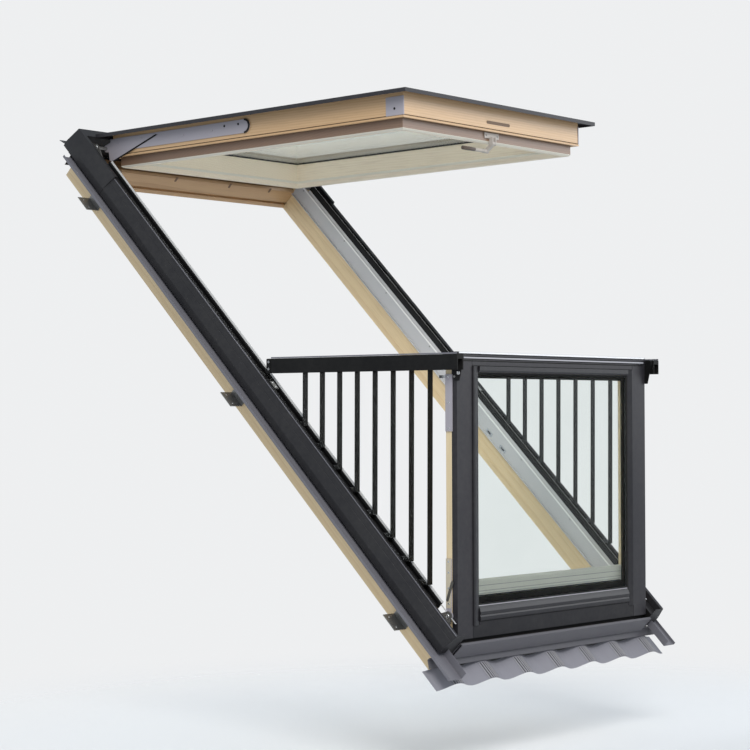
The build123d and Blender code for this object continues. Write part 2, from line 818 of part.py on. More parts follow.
def place_baluster(distance):
    """Where a baluster's top pin is, with both sashes open."""
    u, v = top_pin(distance)
    a = radians(handrail_tilt)
    return Pos(0, front_pin_y + u * cos(a) - v * sin(a), front_pin_z + u * sin(a) + v * cos(a))


# Upper sash, built closed in flat roof coordinates and then opened

open_upper = Pos(0, upper_hinge_s, pivot_n) * Rot(X=-upper_open_angle) * Pos(0, -upper_hinge_s, -pivot_n)
place_upper = on_roof * open_upper
upper_top = sash_top_n + upper_rise
upper_side = sash_half - upper_timber_inset
upper_low = sash_top_n - upper_depth
upper_lip = sash_top_n - upper_lip_depth
glass_top = upper_top - upper_glass_drop
glass_under = glass_top - glazing_thickness


def corner_keep(side, width):
    """The region of one member of the upper sash, with its ends mitred."""
    a, b, h = upper_front_s, upper_rear_s, sash_half
    plans = {
        "front": [(-h, a), (h, a), (h - width, a + width), (width - h, a + width)],
        "rear": [(-h, b), (h, b), (h - width, b - width), (width - h, b - width)],
        "side": [(h, a), (h, b), (h - width, b - width), (h - width, a + width)],
    }
    return along_z(plans[side], 0, 2 * upper_top)


def upper_member(outline, side, width):
    """A bar of the upper sash with an outline in (distance in from the edge, height)."""
    if side == "side":
        bar = along_y([(sash_half - d, n) for d, n in outline], upper_front_s, upper_rear_s)
    elif side == "front":
        bar = along_x([(upper_front_s + d, n) for d, n in outline], -sash_half, sash_half)
    else:
        bar = along_x([(upper_rear_s - d, n) for d, n in outline], -sash_half, sash_half)
    return bar & corner_keep(side, width)


def upper_timber_outline():
    """Set back under the cladding: a face with a bead at its foot, a seal groove, a lip and the glass seat."""
    top = upper_top - cladding_thickness
    bead = 5.0
    edge = upper_timber_inset
    face = edge + upper_face_width
    groove = face + upper_groove_width
    return [
        (edge + upper_side_recess, top),
        (edge + upper_side_recess, upper_low + bead + upper_side_recess),
        (edge, upper_low + bead),
        (edge, upper_low),
        (face, upper_low),
        (face, upper_low + 2 * bead),
        (groove, upper_low + 2 * bead),
        (groove, upper_lip + bead),
        (groove + bead, upper_lip),
        (upper_member_width - 2 * bead, upper_lip),
        (upper_member_width, upper_lip + 3 * bead),
        (upper_member_width, glass_under),
        (upper_glass_seat, glass_under),
        (upper_glass_seat, top),
    ]


def upper_cladding_outline():
    path = [
        (0, upper_top - upper_edge_drop),
        (0, upper_top),
        (upper_cladding_width, upper_top),
        (upper_cladding_width, glass_top + seat_gap),
    ]
    return folded(path, right=cladding_thickness)


def upper_panes():
    edge = upper_glass_seat + glass_clearance
    half = sash_half - edge
    glass, ring = panes(half, upper_front_s + edge, upper_rear_s - edge, 0)
    lay = Pos(0, 0, glass_top) * Rot(X=-90)
    return [lay * pane for pane in glass], lay * ring


def hinge_arm():
    """Steel arm on a stile's outer side, from the hinge pin to a rounded end near mid length."""
    x0 = upper_side - upper_side_recess
    x1 = x0 + strap_thickness
    eye, half = upper_eye_radius, upper_arm_width / 2
    high = upper_top - upper_edge_drop - upper_fitting_drop
    end = upper_hinge_s - upper_arm_length + half
    arm = along_x([(upper_hinge_s, pivot_n + eye), (upper_hinge_s - 4 * eye, high), (end, high),
                   (end, high - 2 * half), (upper_hinge_s - 8 * eye, high - 2 * half),
                   (upper_hinge_s, pivot_n - eye)], x0, x1)
    arm += rod(eye, x0, x1, upper_hinge_s, pivot_n)
    arm += rod(half, x0, x1, end, high - half)
    return arm - rod(upper_pin_radius + pin_clearance, x0 - 1, x1 + 1, upper_hinge_s, pivot_n)


def corner_plate():
    """Metal angle that wraps a front corner of the upper sash."""
    low = upper_low + 4 * upper_side_recess
    high = upper_top - upper_edge_drop - upper_fitting_drop
    inner = upper_side - upper_side_recess
    a = upper_front_s + upper_timber_inset
    side = block((inner, upper_side), (a, a + corner_plate_length), (low, high))
    front = block((upper_side - corner_plate_return, upper_side), (a, a + upper_side_recess), (low, high))
    return side + front


lip_face_s = upper_front_s + upper_timber_inset + upper_face_width + upper_groove_width
handle_s = lip_face_s - handle_pin_reach
handle_n = upper_lip - handle_pin_drop


def handle_base():
    """Base plate on the face of the front rail's lip, with two ears for the lever's pin."""
    low = upper_lip + handle_base_rise
    half, ear_half = handle_base_length / 2, handle_ear_width / 2
    base = block((-half, half), (lip_face_s - handle_base_thickness, lip_face_s), (low, low + handle_base_height))
    near = handle_neck_width / 2 + seat_gap
    for side in (-1, 1):
        x = sorted((side * near, side * (near + handle_ear_thickness)))
        ear = block(x, (handle_s - ear_half, handle_s + ear_half), (handle_n, low + handle_base_thickness))
        ear += rod(ear_half, x[0], x[1], handle_s, handle_n)
        base += ear - rod(handle_pin_radius + pin_clearance, x[0] - 1, x[1] + 1, handle_s, handle_n)
    return base


def handle_lever():
    """Lever on a pin, with a neck and a round grip to one side of its end."""
    half = handle_neck_width / 2
    reach = half + seat_gap + handle_ear_thickness
    eye = handle_ear_width / 2 - 2 * seat_gap
    neck = along_x(rect(-eye * 0.8, -handle_neck_length, eye * 0.8, 0), -half, half)
    lever = neck + rod(eye, -half, half, 0, 0) + rod(handle_pin_radius, -reach, reach, 0, 0)
    lever += rod(handle_grip_radius, half - handle_grip_length, half, 0, -handle_neck_length)
    lever += rod(handle_collar_radius, -half - handle_collar_length, half, 0, -handle_neck_length)
    return Pos(0, handle_s, handle_n) * Rot(X=handle_rest_angle) * lever


def save(node, shapes):
    """Write one node, with all of its solids, to its own file."""
    solids = [solid for shape in shapes for solid in shape.solids()]
    export_step(solids[0] if len(solids) == 1 else Compound(solids), f"parts/{node}.step")


def build():
    """All nodes by name, each a list of shapes in the row frame."""
    nodes = {}

    def add(node, place, *shapes):
        nodes[node] = [place * shape for shape in shapes]

    add("frame_sides", on_roof, *both(frame_side()))
    add("frame_sill", on_roof, frame_sill())
    add("frame_head", on_roof, frame_head())
    add("side_linings", on_roof, *both(side_lining()))
    add("guide_rails", on_roof, *both(guide_rail()), *both(rail_edge()))
    add("side_covers", on_roof, *both(side_cover()))
    add("head_cover", on_roof, head_cover())
    add("sill_cover", on_roof, sill_cover())
    add("side_flashings", on_roof, *both(side_flashing()))
    add("flashing_tray", on_roof, flashing_tray())
    add("flashing_apron", on_roof, flashing_apron())
    add("mounting_brackets", on_roof, *mounting_brackets())
    add("lower_hinge_plates", on_roof, *both(lower_hinge_plate()))
    add("upper_hinge_plates", on_roof, *both(upper_hinge_plate()))

    glass, spacer = panes(glass_half, glass_low, glass_high, lower_glass_depth)
    strap, strip = side_straps()
    add("lower_stiles", place_lower, *both(lower_stile()))
    add("lower_rail_bottom", place_lower, lower_rail_bottom())
    add("lower_rail_top", place_lower, lower_rail_top())
    add("lower_inner_profile", place_lower, lower_inner_profile())
    add("lower_side_claddings", place_lower, *both(lower_side_cladding()))
    add("lower_top_cladding", place_lower, lower_top_cladding())
    add("lower_bottom_cladding", place_lower, lower_bottom_cladding())
    add("glazing_beads", place_lower, *glazing_beads())
    add("lower_glass", place_lower, *glass)
    add("lower_spacer", place_lower, spacer)
    add("side_straps", place_lower, *both(strap), *both(strip))
    add("rail_brackets", place_lower, *both(rail_bracket()))

    timber, metal = upper_timber_outline(), upper_cladding_outline()
    glass, spacer = upper_panes()
    wide = upper_cladding_width + 10
    add("upper_stiles", place_upper, *both(upper_member(timber, "side", upper_member_width + 1)))
    add("upper_rail_front", place_upper, upper_member(timber, "front", upper_member_width + 1))
    add("upper_rail_rear", place_upper, upper_member(timber, "rear", upper_member_width + 1))
    add("upper_side_claddings", place_upper, *both(upper_member(metal, "side", wide)))
    add("upper_front_cladding", place_upper, upper_member(metal, "front", wide))
    add("upper_rear_cladding", place_upper, upper_member(metal, "rear", wide))
    add("upper_glass", place_upper, *glass)
    add("upper_spacer", place_upper, spacer)
    add("hinge_arms", place_upper, *both(hinge_arm()))
    add("corner_plates", place_upper, *both(corner_plate()))
    add("handle_base", place_upper, handle_base())
    add("handle_lever", place_upper, handle_lever())

    shoe_place = place_handrail * Pos(0, pin_height, -pin_offset) * Rot(X=90 - roof_pitch)
    pieces = {"handrail": (place_handrail, handrail()), "rail_cap": (place_handrail, rail_cap()),
              "rear_shoe": (shoe_place, rear_shoe())}
    for i, distance in enumerate(baluster_places()):
        pieces[f"baluster_{i + 1}"] = place_baluster(distance), baluster(distance)
    for name, (place, shape) in pieces.items():
        right = place * shape
        nodes[f"{name}_right"] = [right]
        nodes[f"{name}_left"] = [mirror(right, about=Plane.YZ)]
    return nodes


os.makedirs("parts", exist_ok=True)
for node, shapes in build().items():
    save(node, shapes)
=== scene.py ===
# %% [markdown]
# A roof window that opens into a small balcony: the lower sash stands upright
# as a glass parapet, balusters unfold beside it, and the upper sash is raised
# to a canopy. The solids come from the CAD frame. This lesson dresses them in
# materials, and adds the screws, seals and small fittings that a maker would
# put on last.

# %% Load the frame
import math

import bmesh
import bpy
import numpy as np
from mathutils import Matrix, Vector


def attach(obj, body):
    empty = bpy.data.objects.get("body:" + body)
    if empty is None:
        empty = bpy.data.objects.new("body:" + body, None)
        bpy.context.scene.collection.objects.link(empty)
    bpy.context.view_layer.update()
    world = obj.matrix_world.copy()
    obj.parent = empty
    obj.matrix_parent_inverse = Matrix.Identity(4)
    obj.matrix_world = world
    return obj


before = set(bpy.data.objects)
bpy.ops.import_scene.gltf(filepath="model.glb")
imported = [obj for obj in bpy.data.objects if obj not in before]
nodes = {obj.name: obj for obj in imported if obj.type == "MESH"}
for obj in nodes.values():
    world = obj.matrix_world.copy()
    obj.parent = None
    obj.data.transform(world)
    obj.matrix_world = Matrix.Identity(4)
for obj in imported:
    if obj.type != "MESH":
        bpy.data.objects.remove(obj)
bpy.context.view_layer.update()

# %% [markdown]
# The camera stands where the photographer stood: to the front left, a little
# under the height of the handrail, looking slightly up. Its numbers come from
# fitting the window's own straight edges, so the render and the photograph
# can be laid over each other.

# %% Camera
PHOTO_PIXELS, FOCAL_PIXELS = 750, 2102.3
SENSOR_WIDTH = 36.0
CAMERA_PLACE = (-6.1025, -4.3472, 0.8302)
YAW, PITCH, ROLL = math.radians(50.27), math.radians(1.0755), math.radians(-0.182)
forward = Vector((math.sin(YAW) * math.cos(PITCH), math.cos(YAW) * math.cos(PITCH),
                  math.sin(PITCH)))
level = Vector((math.cos(YAW), -math.sin(YAW), 0))
upward = level.cross(forward)
right = level * math.cos(ROLL) + upward * math.sin(ROLL)
up = upward * math.cos(ROLL) - level * math.sin(ROLL)

camera_data = bpy.data.cameras.new("photo_camera")
camera_data.sensor_width = SENSOR_WIDTH
camera_data.lens = SENSOR_WIDTH * FOCAL_PIXELS / PHOTO_PIXELS
camera_data.clip_start, camera_data.clip_end = 0.1, 100
camera = bpy.data.objects.new("photo_camera", camera_data)
bpy.context.scene.collection.objects.link(camera)
turn = Matrix((right, up, -forward)).transposed().to_4x4()
camera.matrix_world = Matrix.Translation(CAMERA_PLACE) @ turn
bpy.context.scene.camera = camera
print("camera lens mm:", round(camera_data.lens, 1))

# %% [markdown]
# The light is an overcast sky, one large soft lamp from the front left, and
# two weaker ones from the right and from behind. Coated metal needs something
# broad to reflect, or its folds vanish. The pale backdrop shows only to the
# camera and through the glass, and it adds no light of its own.

# %% Light and sky
scene = bpy.context.scene
scene.view_settings.view_transform = "Standard"
world = bpy.data.worlds.new("studio")
scene.world = world
world.use_nodes = True
sky = world.node_tree
sky.nodes.clear()
sky_out = sky.nodes.new("ShaderNodeOutputWorld")
sky_mix = sky.nodes.new("ShaderNodeMixShader")


def background(colour, strength):
    """A world shader of one colour and brightness."""
    node = sky.nodes.new("ShaderNodeBackground")
    node.inputs["Color"].default_value = (*colour, 1)
    node.inputs["Strength"].default_value = strength
    return node


soft_sky = background((0.86, 0.93, 1.0), strength=0.62)
backdrop = background((0.93, 0.94, 0.95), strength=0.92)
rays = sky.nodes.new("ShaderNodeLightPath")
seen = sky.nodes.new("ShaderNodeMath")
seen.operation = "MAXIMUM"
sky.links.new(rays.outputs["Is Camera Ray"], seen.inputs[0])
sky.links.new(rays.outputs["Is Transmission Ray"], seen.inputs[1])
sky.links.new(seen.outputs[0], sky_mix.inputs[0])
sky.links.new(soft_sky.outputs[0], sky_mix.inputs[1])
sky.links.new(backdrop.outputs[0], sky_mix.inputs[2])
sky.links.new(sky_mix.outputs[0], sky_out.inputs["Surface"])


def lamp(name, place, aim, size, power, colour):
    """A square area lamp at place, turned towards aim: metres, watts and a linear colour."""
    data = bpy.data.lights.new(name, "AREA")
    data.size, data.energy, data.color = size, power, colour
    obj = bpy.data.objects.new(name, data)
    obj.location = place
    obj.rotation_euler = (Vector(aim) - Vector(place)).to_track_quat("-Z", "Y").to_euler()
    scene.collection.objects.link(obj)


WINDOW_MIDDLE, WINDOW_TOP = (0, 0.6, 1.0), (0, 0.6, 1.2)
lamp("key", (-4.2, -4.6, 5.2), WINDOW_MIDDLE, size=3.4, power=330, colour=(1.0, 0.985, 0.96))
lamp("fill", (4.8, -3.0, 2.6), WINDOW_MIDDLE, size=3.0, power=90, colour=(0.95, 0.97, 1.0))
lamp("back", (-1.0, 6.0, 4.6), WINDOW_TOP, size=3.0, power=120, colour=(0.95, 0.98, 1.0))

# %% [markdown]
# A shape here is a numpy array of points and a list of faces. One helper turns
# them into a mesh on its body, and every later piece only has to say where its
# points are. Three ways of making the points are enough for all the small
# parts of this window: a profile spun about an axis, an outline pushed through
# a thickness, and a profile carried round a rectangle.

# %% Helpers for surfaces


def grid_faces(rows, columns, close_rows=False, close_columns=False):
    """Four-sided faces between neighbouring points of a rows by columns grid."""
    i = np.arange(rows if close_rows else rows - 1)[:, None]
    j = np.arange(columns if close_columns else columns - 1)[None, :]
    i2, j2 = (i + 1) % rows, (j + 1) % columns
    corners = [i * columns + j, i * columns + j2, i2 * columns + j2, i2 * columns + j]
    return np.stack(np.broadcast_arrays(*corners), -1).reshape(-1, 4)


def make_piece(name, points, faces, material, body, smooth=False):
    """A mesh object from points and faces, with its normals turned outwards, riding on a body."""
    mesh = bpy.data.meshes.new(name)
    vertices = np.asarray(points, float).reshape(-1, 3).tolist()
    mesh.from_pydata(vertices, [], [list(f) for f in faces])
    mesh.validate()
    shell = bmesh.new()
    shell.from_mesh(mesh)
    bmesh.ops.recalc_face_normals(shell, faces=shell.faces)
    shell.to_mesh(mesh)
    shell.free()
    obj = bpy.data.objects.new(name, mesh)
    scene.collection.objects.link(obj)
    mesh.materials.append(material)
    mesh.polygons.foreach_set("use_smooth", np.full(len(mesh.polygons), smooth))
    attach(obj, body)


def unit(vectors):
    """Vectors scaled to length one."""
    return vectors / np.linalg.norm(vectors, axis=-1, keepdims=True)


def turned(profile, centres, axes, count):
    """Surfaces of revolution: profile rows are (radius, height), set at each centre on its axis.
    A point is centre + height * axis + radius * (cos(t) * side + sin(t) * cross), where side is
    square to the axis and cross is square to both."""
    profile = np.asarray(profile, float)
    axes = unit(np.broadcast_to(np.asarray(axes, float), np.shape(centres)))
    side = np.where(np.abs(axes[:, :1]) < 0.9, [[1.0, 0, 0]], [[0, 1.0, 0]])
    side = unit(side - (side * axes).sum(-1, keepdims=True) * axes)
    cross = np.cross(axes, side)
    t = np.linspace(0, 2 * math.pi, count, endpoint=False)[None, :, None]
    ring = np.cos(t) * side[:, None, :] + np.sin(t) * cross[:, None, :]
    radius, height = profile[None, :, 0, None, None], profile[None, :, 1, None, None]
    points = centres[:, None, None, :] + height * axes[:, None, None, :] + radius * ring[:, None]
    faces = grid_faces(len(profile), count, close_columns=True)[:, ::-1]
    start = (np.arange(len(centres)) * len(profile) * count)[:, None, None]
    return points.reshape(-1, 3), (faces[None] + start).reshape(-1, 4)


def slab(near, far):
    """A plate between two matching closed outlines of points."""
    near, far = np.asarray(near, float), np.asarray(far, float)
    count = len(near)
    faces = [tuple(f) for f in grid_faces(2, count, close_columns=True)]
    faces += [tuple(range(count))[::-1], tuple(range(count, 2 * count))]
    return np.concatenate([near, far]), faces


def rounded(width, height, radius, steps=5):
    """A rectangle's outline about the origin, each corner a quarter circle of the given radius."""
    quarter = np.linspace(0, math.pi / 2, steps)
    corners = [(1, 1, 0), (-1, 1, 1), (-1, -1, 2), (1, -1, 3)]
    points = []
    for sx, sy, k in corners:
        angle = quarter + k * math.pi / 2
        points.append(np.stack([sx * (width / 2 - radius) + radius * np.cos(angle),
                                sy * (height / 2 - radius) + radius * np.sin(angle)], -1))
    return np.concatenate(points)


def mitred(profile, corners, out):
    """A closed profile carried round a closed polygon with mitred corners.
    A point is corner + u * (its outward mitre vector) + v * out, where the mitre vector of two
    edge normals a and b is (a + b) / (1 + a . b)."""
    profile, corners = np.asarray(profile, float), np.asarray(corners, float)
    edges = np.roll(corners, -1, 0) - corners
    normals = unit(np.cross(edges, out))
    normals *= np.sign(((corners - corners.mean(0)) * normals).sum())
    before = np.roll(normals, 1, 0)
    mitre = (before + normals) / (1 + (before * normals).sum(-1, keepdims=True))
    points = corners[:, None] + profile[None, :, :1] * mitre[:, None] + profile[None, :, 1:] * out
    return points.reshape(-1, 3), grid_faces(len(corners), len(profile), True, True)


print("helpers ready")

# %% [markdown]
# Several finishes share the same effects. Each effect is a node group with
# its own named inputs, built once: dust and a fine orange peel for coated
# metal, a grain that follows the board for pine, and a faint film for glass.
# The surface shader stays in the material, because a group should only hand
# out colours, roughness and heights.

# %% Shared effects


def new_group(name, inputs, outputs):
    """A shader node group with float, vector or colour sockets."""
    group = bpy.data.node_groups.new(name, "ShaderNodeTree")
    for label, kind, value in inputs:
        socket = group.interface.new_socket(name=label, in_out="INPUT", socket_type=kind)
        if value is not None:
            socket.default_value = value
    for label, kind in outputs:
        group.interface.new_socket(name=label, in_out="OUTPUT", socket_type=kind)
    return group, group.nodes.new("NodeGroupInput"), group.nodes.new("NodeGroupOutput")


def math_node(tree, operation, a, b=None):
    """A Math node whose inputs are sockets or numbers."""
    node = tree.nodes.new("ShaderNodeMath")
    node.operation = operation
    for socket, value in zip(node.inputs, (a, b)):
        if hasattr(value, "is_linked"):
            tree.links.new(value, socket)
        elif value is not None:
            socket.default_value = value
    return node.outputs[0]


def noise_node(tree, vector, scale, detail, rough=0.55, distortion=0.0):
    """The grey value of a noise texture."""
    node = tree.nodes.new("ShaderNodeTexNoise")
    node.inputs["Scale"].default_value = scale
    node.inputs["Detail"].default_value = detail
    node.inputs["Roughness"].default_value = rough
    node.inputs["Distortion"].default_value = distortion
    tree.links.new(vector, node.inputs["Vector"])
    return node.outputs["Fac"]


def ramp_node(tree, fac, stops):
    """A colour ramp from (position, colour) stops."""
    node = tree.nodes.new("ShaderNodeValToRGB")
    ramp = node.color_ramp
    while len(ramp.elements) < len(stops):
        ramp.elements.new(0.5)
    for element, (place, colour) in zip(ramp.elements, stops):
        element.position, element.color = place, (*colour, 1)
    tree.links.new(fac, node.inputs["Fac"])
    return node.outputs["Color"]


def mix_colour(tree, fac, a, b, blend="MIX"):
    """A colour between a and b, each a socket or a linear colour. fac is a socket or a number."""
    node = tree.nodes.new("ShaderNodeMix")
    node.data_type, node.blend_type = "RGBA", blend
    fac_in, a_in, b_in, colour_out = node.inputs[0], node.inputs[6], node.inputs[7], node.outputs[2]
    for socket, value in ((fac_in, fac), (a_in, a), (b_in, b)):
        if hasattr(value, "is_linked"):
            tree.links.new(value, socket)
        else:
            socket.default_value = (*value, 1) if isinstance(value, tuple) else value
    return colour_out


def linear(hex_colour):
    """A linear colour from an sRGB hex string."""
    c = np.array([int(hex_colour[i:i + 2], 16) for i in (0, 2, 4)]) / 255
    return tuple(np.where(c <= 0.04045, c / 12.92, ((c + 0.055) / 1.055) ** 2.4))


SURFACE_OUTPUTS = [("Colour", "NodeSocketColor"), ("Roughness", "NodeSocketFloat"),
                   ("Height", "NodeSocketFloat")]
DUST_COLOUR, DUST_GAIN, DUST_DULLING = "a8a49c", 2.4, 0.8

# Coated metal: cloudy dust that dulls the colour, and a fine orange peel as its height
coat_group, gi, go = new_group(
    "coated_metal",
    [("Vector", "NodeSocketVector", None), ("Colour", "NodeSocketColor", (0.1, 0.1, 0.1, 1)),
     ("Dust", "NodeSocketFloat", 0.15), ("Roughness", "NodeSocketFloat", 0.4)],
    SURFACE_OUTPUTS,
)
peel = noise_node(coat_group, gi.outputs["Vector"], scale=420, detail=2.0)
cloud = noise_node(coat_group, gi.outputs["Vector"], scale=3.2, detail=6.0, rough=0.6,
                   distortion=0.4)
speck = noise_node(coat_group, gi.outputs["Vector"], scale=46, detail=5.0, rough=0.7)
patches = math_node(coat_group, "MULTIPLY", cloud, speck)
dust = math_node(coat_group, "MULTIPLY", patches, gi.outputs["Dust"])
dust = math_node(coat_group, "MULTIPLY", dust, DUST_GAIN)
dusty = mix_colour(coat_group, dust, gi.outputs["Colour"], linear(DUST_COLOUR))
coat_group.links.new(dusty, go.inputs["Colour"])
dulling = math_node(coat_group, "MULTIPLY", dust, DUST_DULLING)
rough = math_node(coat_group, "ADD", gi.outputs["Roughness"], dulling)
coat_group.links.new(rough, go.inputs["Roughness"])
coat_group.links.new(peel, go.inputs["Height"])

LATE_SHARPNESS, BOARD_TONE, PORE_DEPTH = 2.6, 0.3, 0.45
WOOD_ROUGHNESS, FIBRE_ROUGHNESS = 0.34, 0.22

# Pine: growth rings about a line beside the board's own Y, fine fibres along it, and pores
wood_group, gi, go = new_group(
    "pine_grain",
    [("Vector", "NodeSocketVector", None), ("Early", "NodeSocketColor", (1, 1, 1, 1)),
     ("Late", "NodeSocketColor", (1, 1, 1, 1)), ("Contrast", "NodeSocketFloat", 0.6)],
    SURFACE_OUTPUTS,
)


def stretched(tree, vector, scale, location=(0, 0, 0)):
    """A vector stretched by scale and moved by location."""
    node = tree.nodes.new("ShaderNodeMapping")
    node.inputs["Scale"].default_value = scale
    node.inputs["Location"].default_value = location
    tree.links.new(vector, node.inputs["Vector"])
    return node.outputs[0]


rings = wood_group.nodes.new("ShaderNodeTexWave")
rings.wave_type, rings.rings_direction, rings.wave_profile = "RINGS", "Y", "SAW"
rings.inputs["Scale"].default_value = 34.0
rings.inputs["Distortion"].default_value = 5.0
rings.inputs["Detail"].default_value = 3.0
rings.inputs["Detail Scale"].default_value = 0.35
beside_heart = stretched(wood_group, gi.outputs["Vector"], (1, 0.07, 1), (0.21, 0, 0.17))
wood_group.links.new(beside_heart, rings.inputs["Vector"])
along_fibre = stretched(wood_group, gi.outputs["Vector"], (1, 0.03, 1))
fibre = noise_node(wood_group, along_fibre, scale=260, detail=5.0, rough=0.65)
along_board = stretched(wood_group, gi.outputs["Vector"], (1, 0.2, 1))
board = noise_node(wood_group, along_board, scale=5.0, detail=3.0, rough=0.5)
late = math_node(wood_group, "POWER", rings.outputs["Fac"], LATE_SHARPNESS)
late = math_node(wood_group, "MULTIPLY", late, gi.outputs["Contrast"])
tone = math_node(wood_group, "MULTIPLY", board, BOARD_TONE)
late = math_node(wood_group, "ADD", late, tone)
toned = mix_colour(wood_group, late, gi.outputs["Early"], gi.outputs["Late"])
pores = ramp_node(wood_group, fibre, [(0.30, (0.70, 0.66, 0.60)), (0.52, (1, 1, 1))])
grained = mix_colour(wood_group, PORE_DEPTH, toned, pores, blend="MULTIPLY")
wood_group.links.new(grained, go.inputs["Colour"])
fibre_rough = math_node(wood_group, "MULTIPLY", fibre, FIBRE_ROUGHNESS)
wood_rough = math_node(wood_group, "ADD", WOOD_ROUGHNESS, fibre_rough)
wood_group.links.new(wood_rough, go.inputs["Roughness"])
wood_group.links.new(fibre, go.inputs["Height"])

# Panes: a film of dust that is only seen as a faint haze
pane_group, gi, go = new_group("pane_film", [("Vector", "NodeSocketVector", None)],
                               [("Colour", "NodeSocketColor"), ("Roughness", "NodeSocketFloat")])
film = noise_node(pane_group, gi.outputs["Vector"], scale=7.0, detail=6.0, rough=0.7)
film_ramp = ramp_node(pane_group, film, [(0.50, (0.0, 0.0, 0.0)), (0.85, (0.02, 0.02, 0.02))])
pane_group.links.new(film_ramp, go.inputs["Roughness"])
filmed = mix_colour(pane_group, film, (0.95, 0.975, 0.965), (0.90, 0.93, 0.92))
pane_group.links.new(filmed, go.inputs["Colour"])
print("node groups:", [g.name for g in bpy.data.node_groups])

# %% [markdown]
# Each finish is one material: a Principled surface fed by a shared effect.
# Colours are written as sRGB hex values and set until the render looked
# like the photograph. The dark ones are darker than they look, because the
# sky's reflection lightens them. The glass has a lower index than real glass,
# because the photograph's panes hardly mirror the sky.

# %% Materials


def finish_with(name, group, inputs, bump, specular=0.5, metallic=0.0, coat=0.0, turn=(0, 0, 0),
                distance=0.001):
    """A Principled material fed by a node group on Object coordinates, turned by turn."""
    material = bpy.data.materials.new(name)
    material.use_nodes = True
    tree = material.node_tree
    surface = tree.nodes["Principled BSDF"]
    place = tree.nodes.new("ShaderNodeTexCoord")
    mapping = tree.nodes.new("ShaderNodeMapping")
    mapping.inputs["Rotation"].default_value = turn
    tree.links.new(place.outputs["Object"], mapping.inputs["Vector"])
    effect = tree.nodes.new("ShaderNodeGroup")
    effect.node_tree = group
    tree.links.new(mapping.outputs[0], effect.inputs["Vector"])
    for label, value in inputs.items():
        effect.inputs[label].default_value = (*value, 1) if isinstance(value, tuple) else value
    relief = tree.nodes.new("ShaderNodeBump")
    relief.inputs["Strength"].default_value = bump
    relief.inputs["Distance"].default_value = distance
    tree.links.new(effect.outputs["Height"], relief.inputs["Height"])
    tree.links.new(effect.outputs["Colour"], surface.inputs["Base Color"])
    tree.links.new(effect.outputs["Roughness"], surface.inputs["Roughness"])
    tree.links.new(relief.outputs["Normal"], surface.inputs["Normal"])
    surface.inputs["Metallic"].default_value = metallic
    surface.inputs["Coat Weight"].default_value = coat
    surface.inputs["Coat Roughness"].default_value = 0.2
    surface.inputs["Specular IOR Level"].default_value = specular
    return material


def coated(name, colour, rough, dust, bump=0.05, specular=0.35, metallic=0.0):
    """Coated metal, plastic or rubber with a little dust."""
    inputs = {"Colour": linear(colour), "Roughness": rough, "Dust": dust}
    return finish_with(name, coat_group, inputs, bump, specular, metallic)


def pine(name, turn, early="dbb88d", late="b98a5a", contrast=0.36):
    """Lacquered pine, turned so that the grain's own Y runs along the board."""
    inputs = {"Early": linear(early), "Late": linear(late), "Contrast": contrast}
    return finish_with(name, wood_group, inputs, bump=0.06, coat=0.2, turn=turn, distance=0.0004)


UP_THE_SLOPE, UPRIGHT = (-math.pi / 4, 0, 0), (-math.pi / 2, 0, 0)
LEVEL, ACROSS = (0, 0, 0), (0, 0, math.pi / 2)
anthracite = coated("anthracite", "201e25", 0.42, 0.06, specular=0.3)
shaded_anthracite = coated("shaded_anthracite", "15141a", 0.45, 0.05, specular=0.2)
hood_grey = coated("hood_grey", "1a1a1f", 0.5, 0.05, bump=0.015, specular=0.3)
# A darker copy of the anthracite: painted shade on the glazing beads.
bead_grey_painted_shade = coated("bead_grey_painted_shade", "1a191f", 0.36, 0.05, specular=0.3)
near_black = coated("near_black", "09090b", 0.40, 0.03, specular=0.15)
black = coated("black_plastic", "070708", 0.55, 0.03, specular=0.15)
flashing_grey = coated("flashing_grey", "6d6c74", 0.50, 0.12)
# A lighter copy of the flashing grey: painted light, because the apron faces down the slope and
# falls in shade.
apron_grey_painted_light = coated("apron_grey_painted_light", "8b8a93", 0.50, 0.12)
# A pale grey for painted highlights: the apron's seams, the cap's ridge and the bead's top edge.
painted_highlight_grey = coated("painted_highlight_grey", "a9a8ae", 0.45, 0.08)
# A darker copy of the flashing grey: painted shade on the tray and sill cover beneath the sash.
tray_grey_painted_shade = coated("tray_grey_painted_shade", "56555c", 0.50, 0.12)
rail_grey = coated("rail_grey", "0d0d10", 0.55, 0.03, bump=0.01, specular=0.2)
lining_grey = coated("lining_grey", "c9c8c9", 0.42, 0.10)
profile_grey = coated("profile_grey", "c4c0b8", 0.32, 0.08)
arm_grey = coated("arm_grey", "aaa5ad", 0.42, 0.08)
zinc = coated("zinc_plate", "8f8e8c", 0.34, 0.10, metallic=0.7)
bright_steel = coated("bright_steel", "d6d6d6", 0.22, 0.04, metallic=0.9)
# Near-white: the bright edge of each guide rail, and a painted highlight along each lining's edge.
white_edge_and_highlight = coated("white_edge_and_highlight", "f4f3f1", 0.3, 0.02)
# Satin aluminium for the guide rails' bright toe, and as a painted highlight on the rounded nosing
# of the parapet's cap.
satin_and_highlight = coated("satin_aluminium_and_highlight", "e6e6e8", 0.30, 0.04, metallic=0.4)
handle_grey = coated("handle_grey", "b9b1a9", 0.36, 0.08)
# Dark brown: painted shade on the outer end of the handle's grip.
grip_brown_painted_shade = coated("grip_brown_painted_shade", "54473d", 0.40, 0.05)
spacer_grey = coated("spacer_grey", "7d7f80", 0.5, 0.05, metallic=0.5)
# Black rubber for the real seals, and also painted shade: the strips under the lower sash's foot,
# along its cladding joint, in the cap's grooves and over the sill timber's front.
rubber_and_shade = coated("seal_rubber_and_painted_shade", "0d0d0e", 0.75, 0.04, specular=0.2)
pale_bead = coated("pale_bead", "e2dccd", 0.45, 0.05)
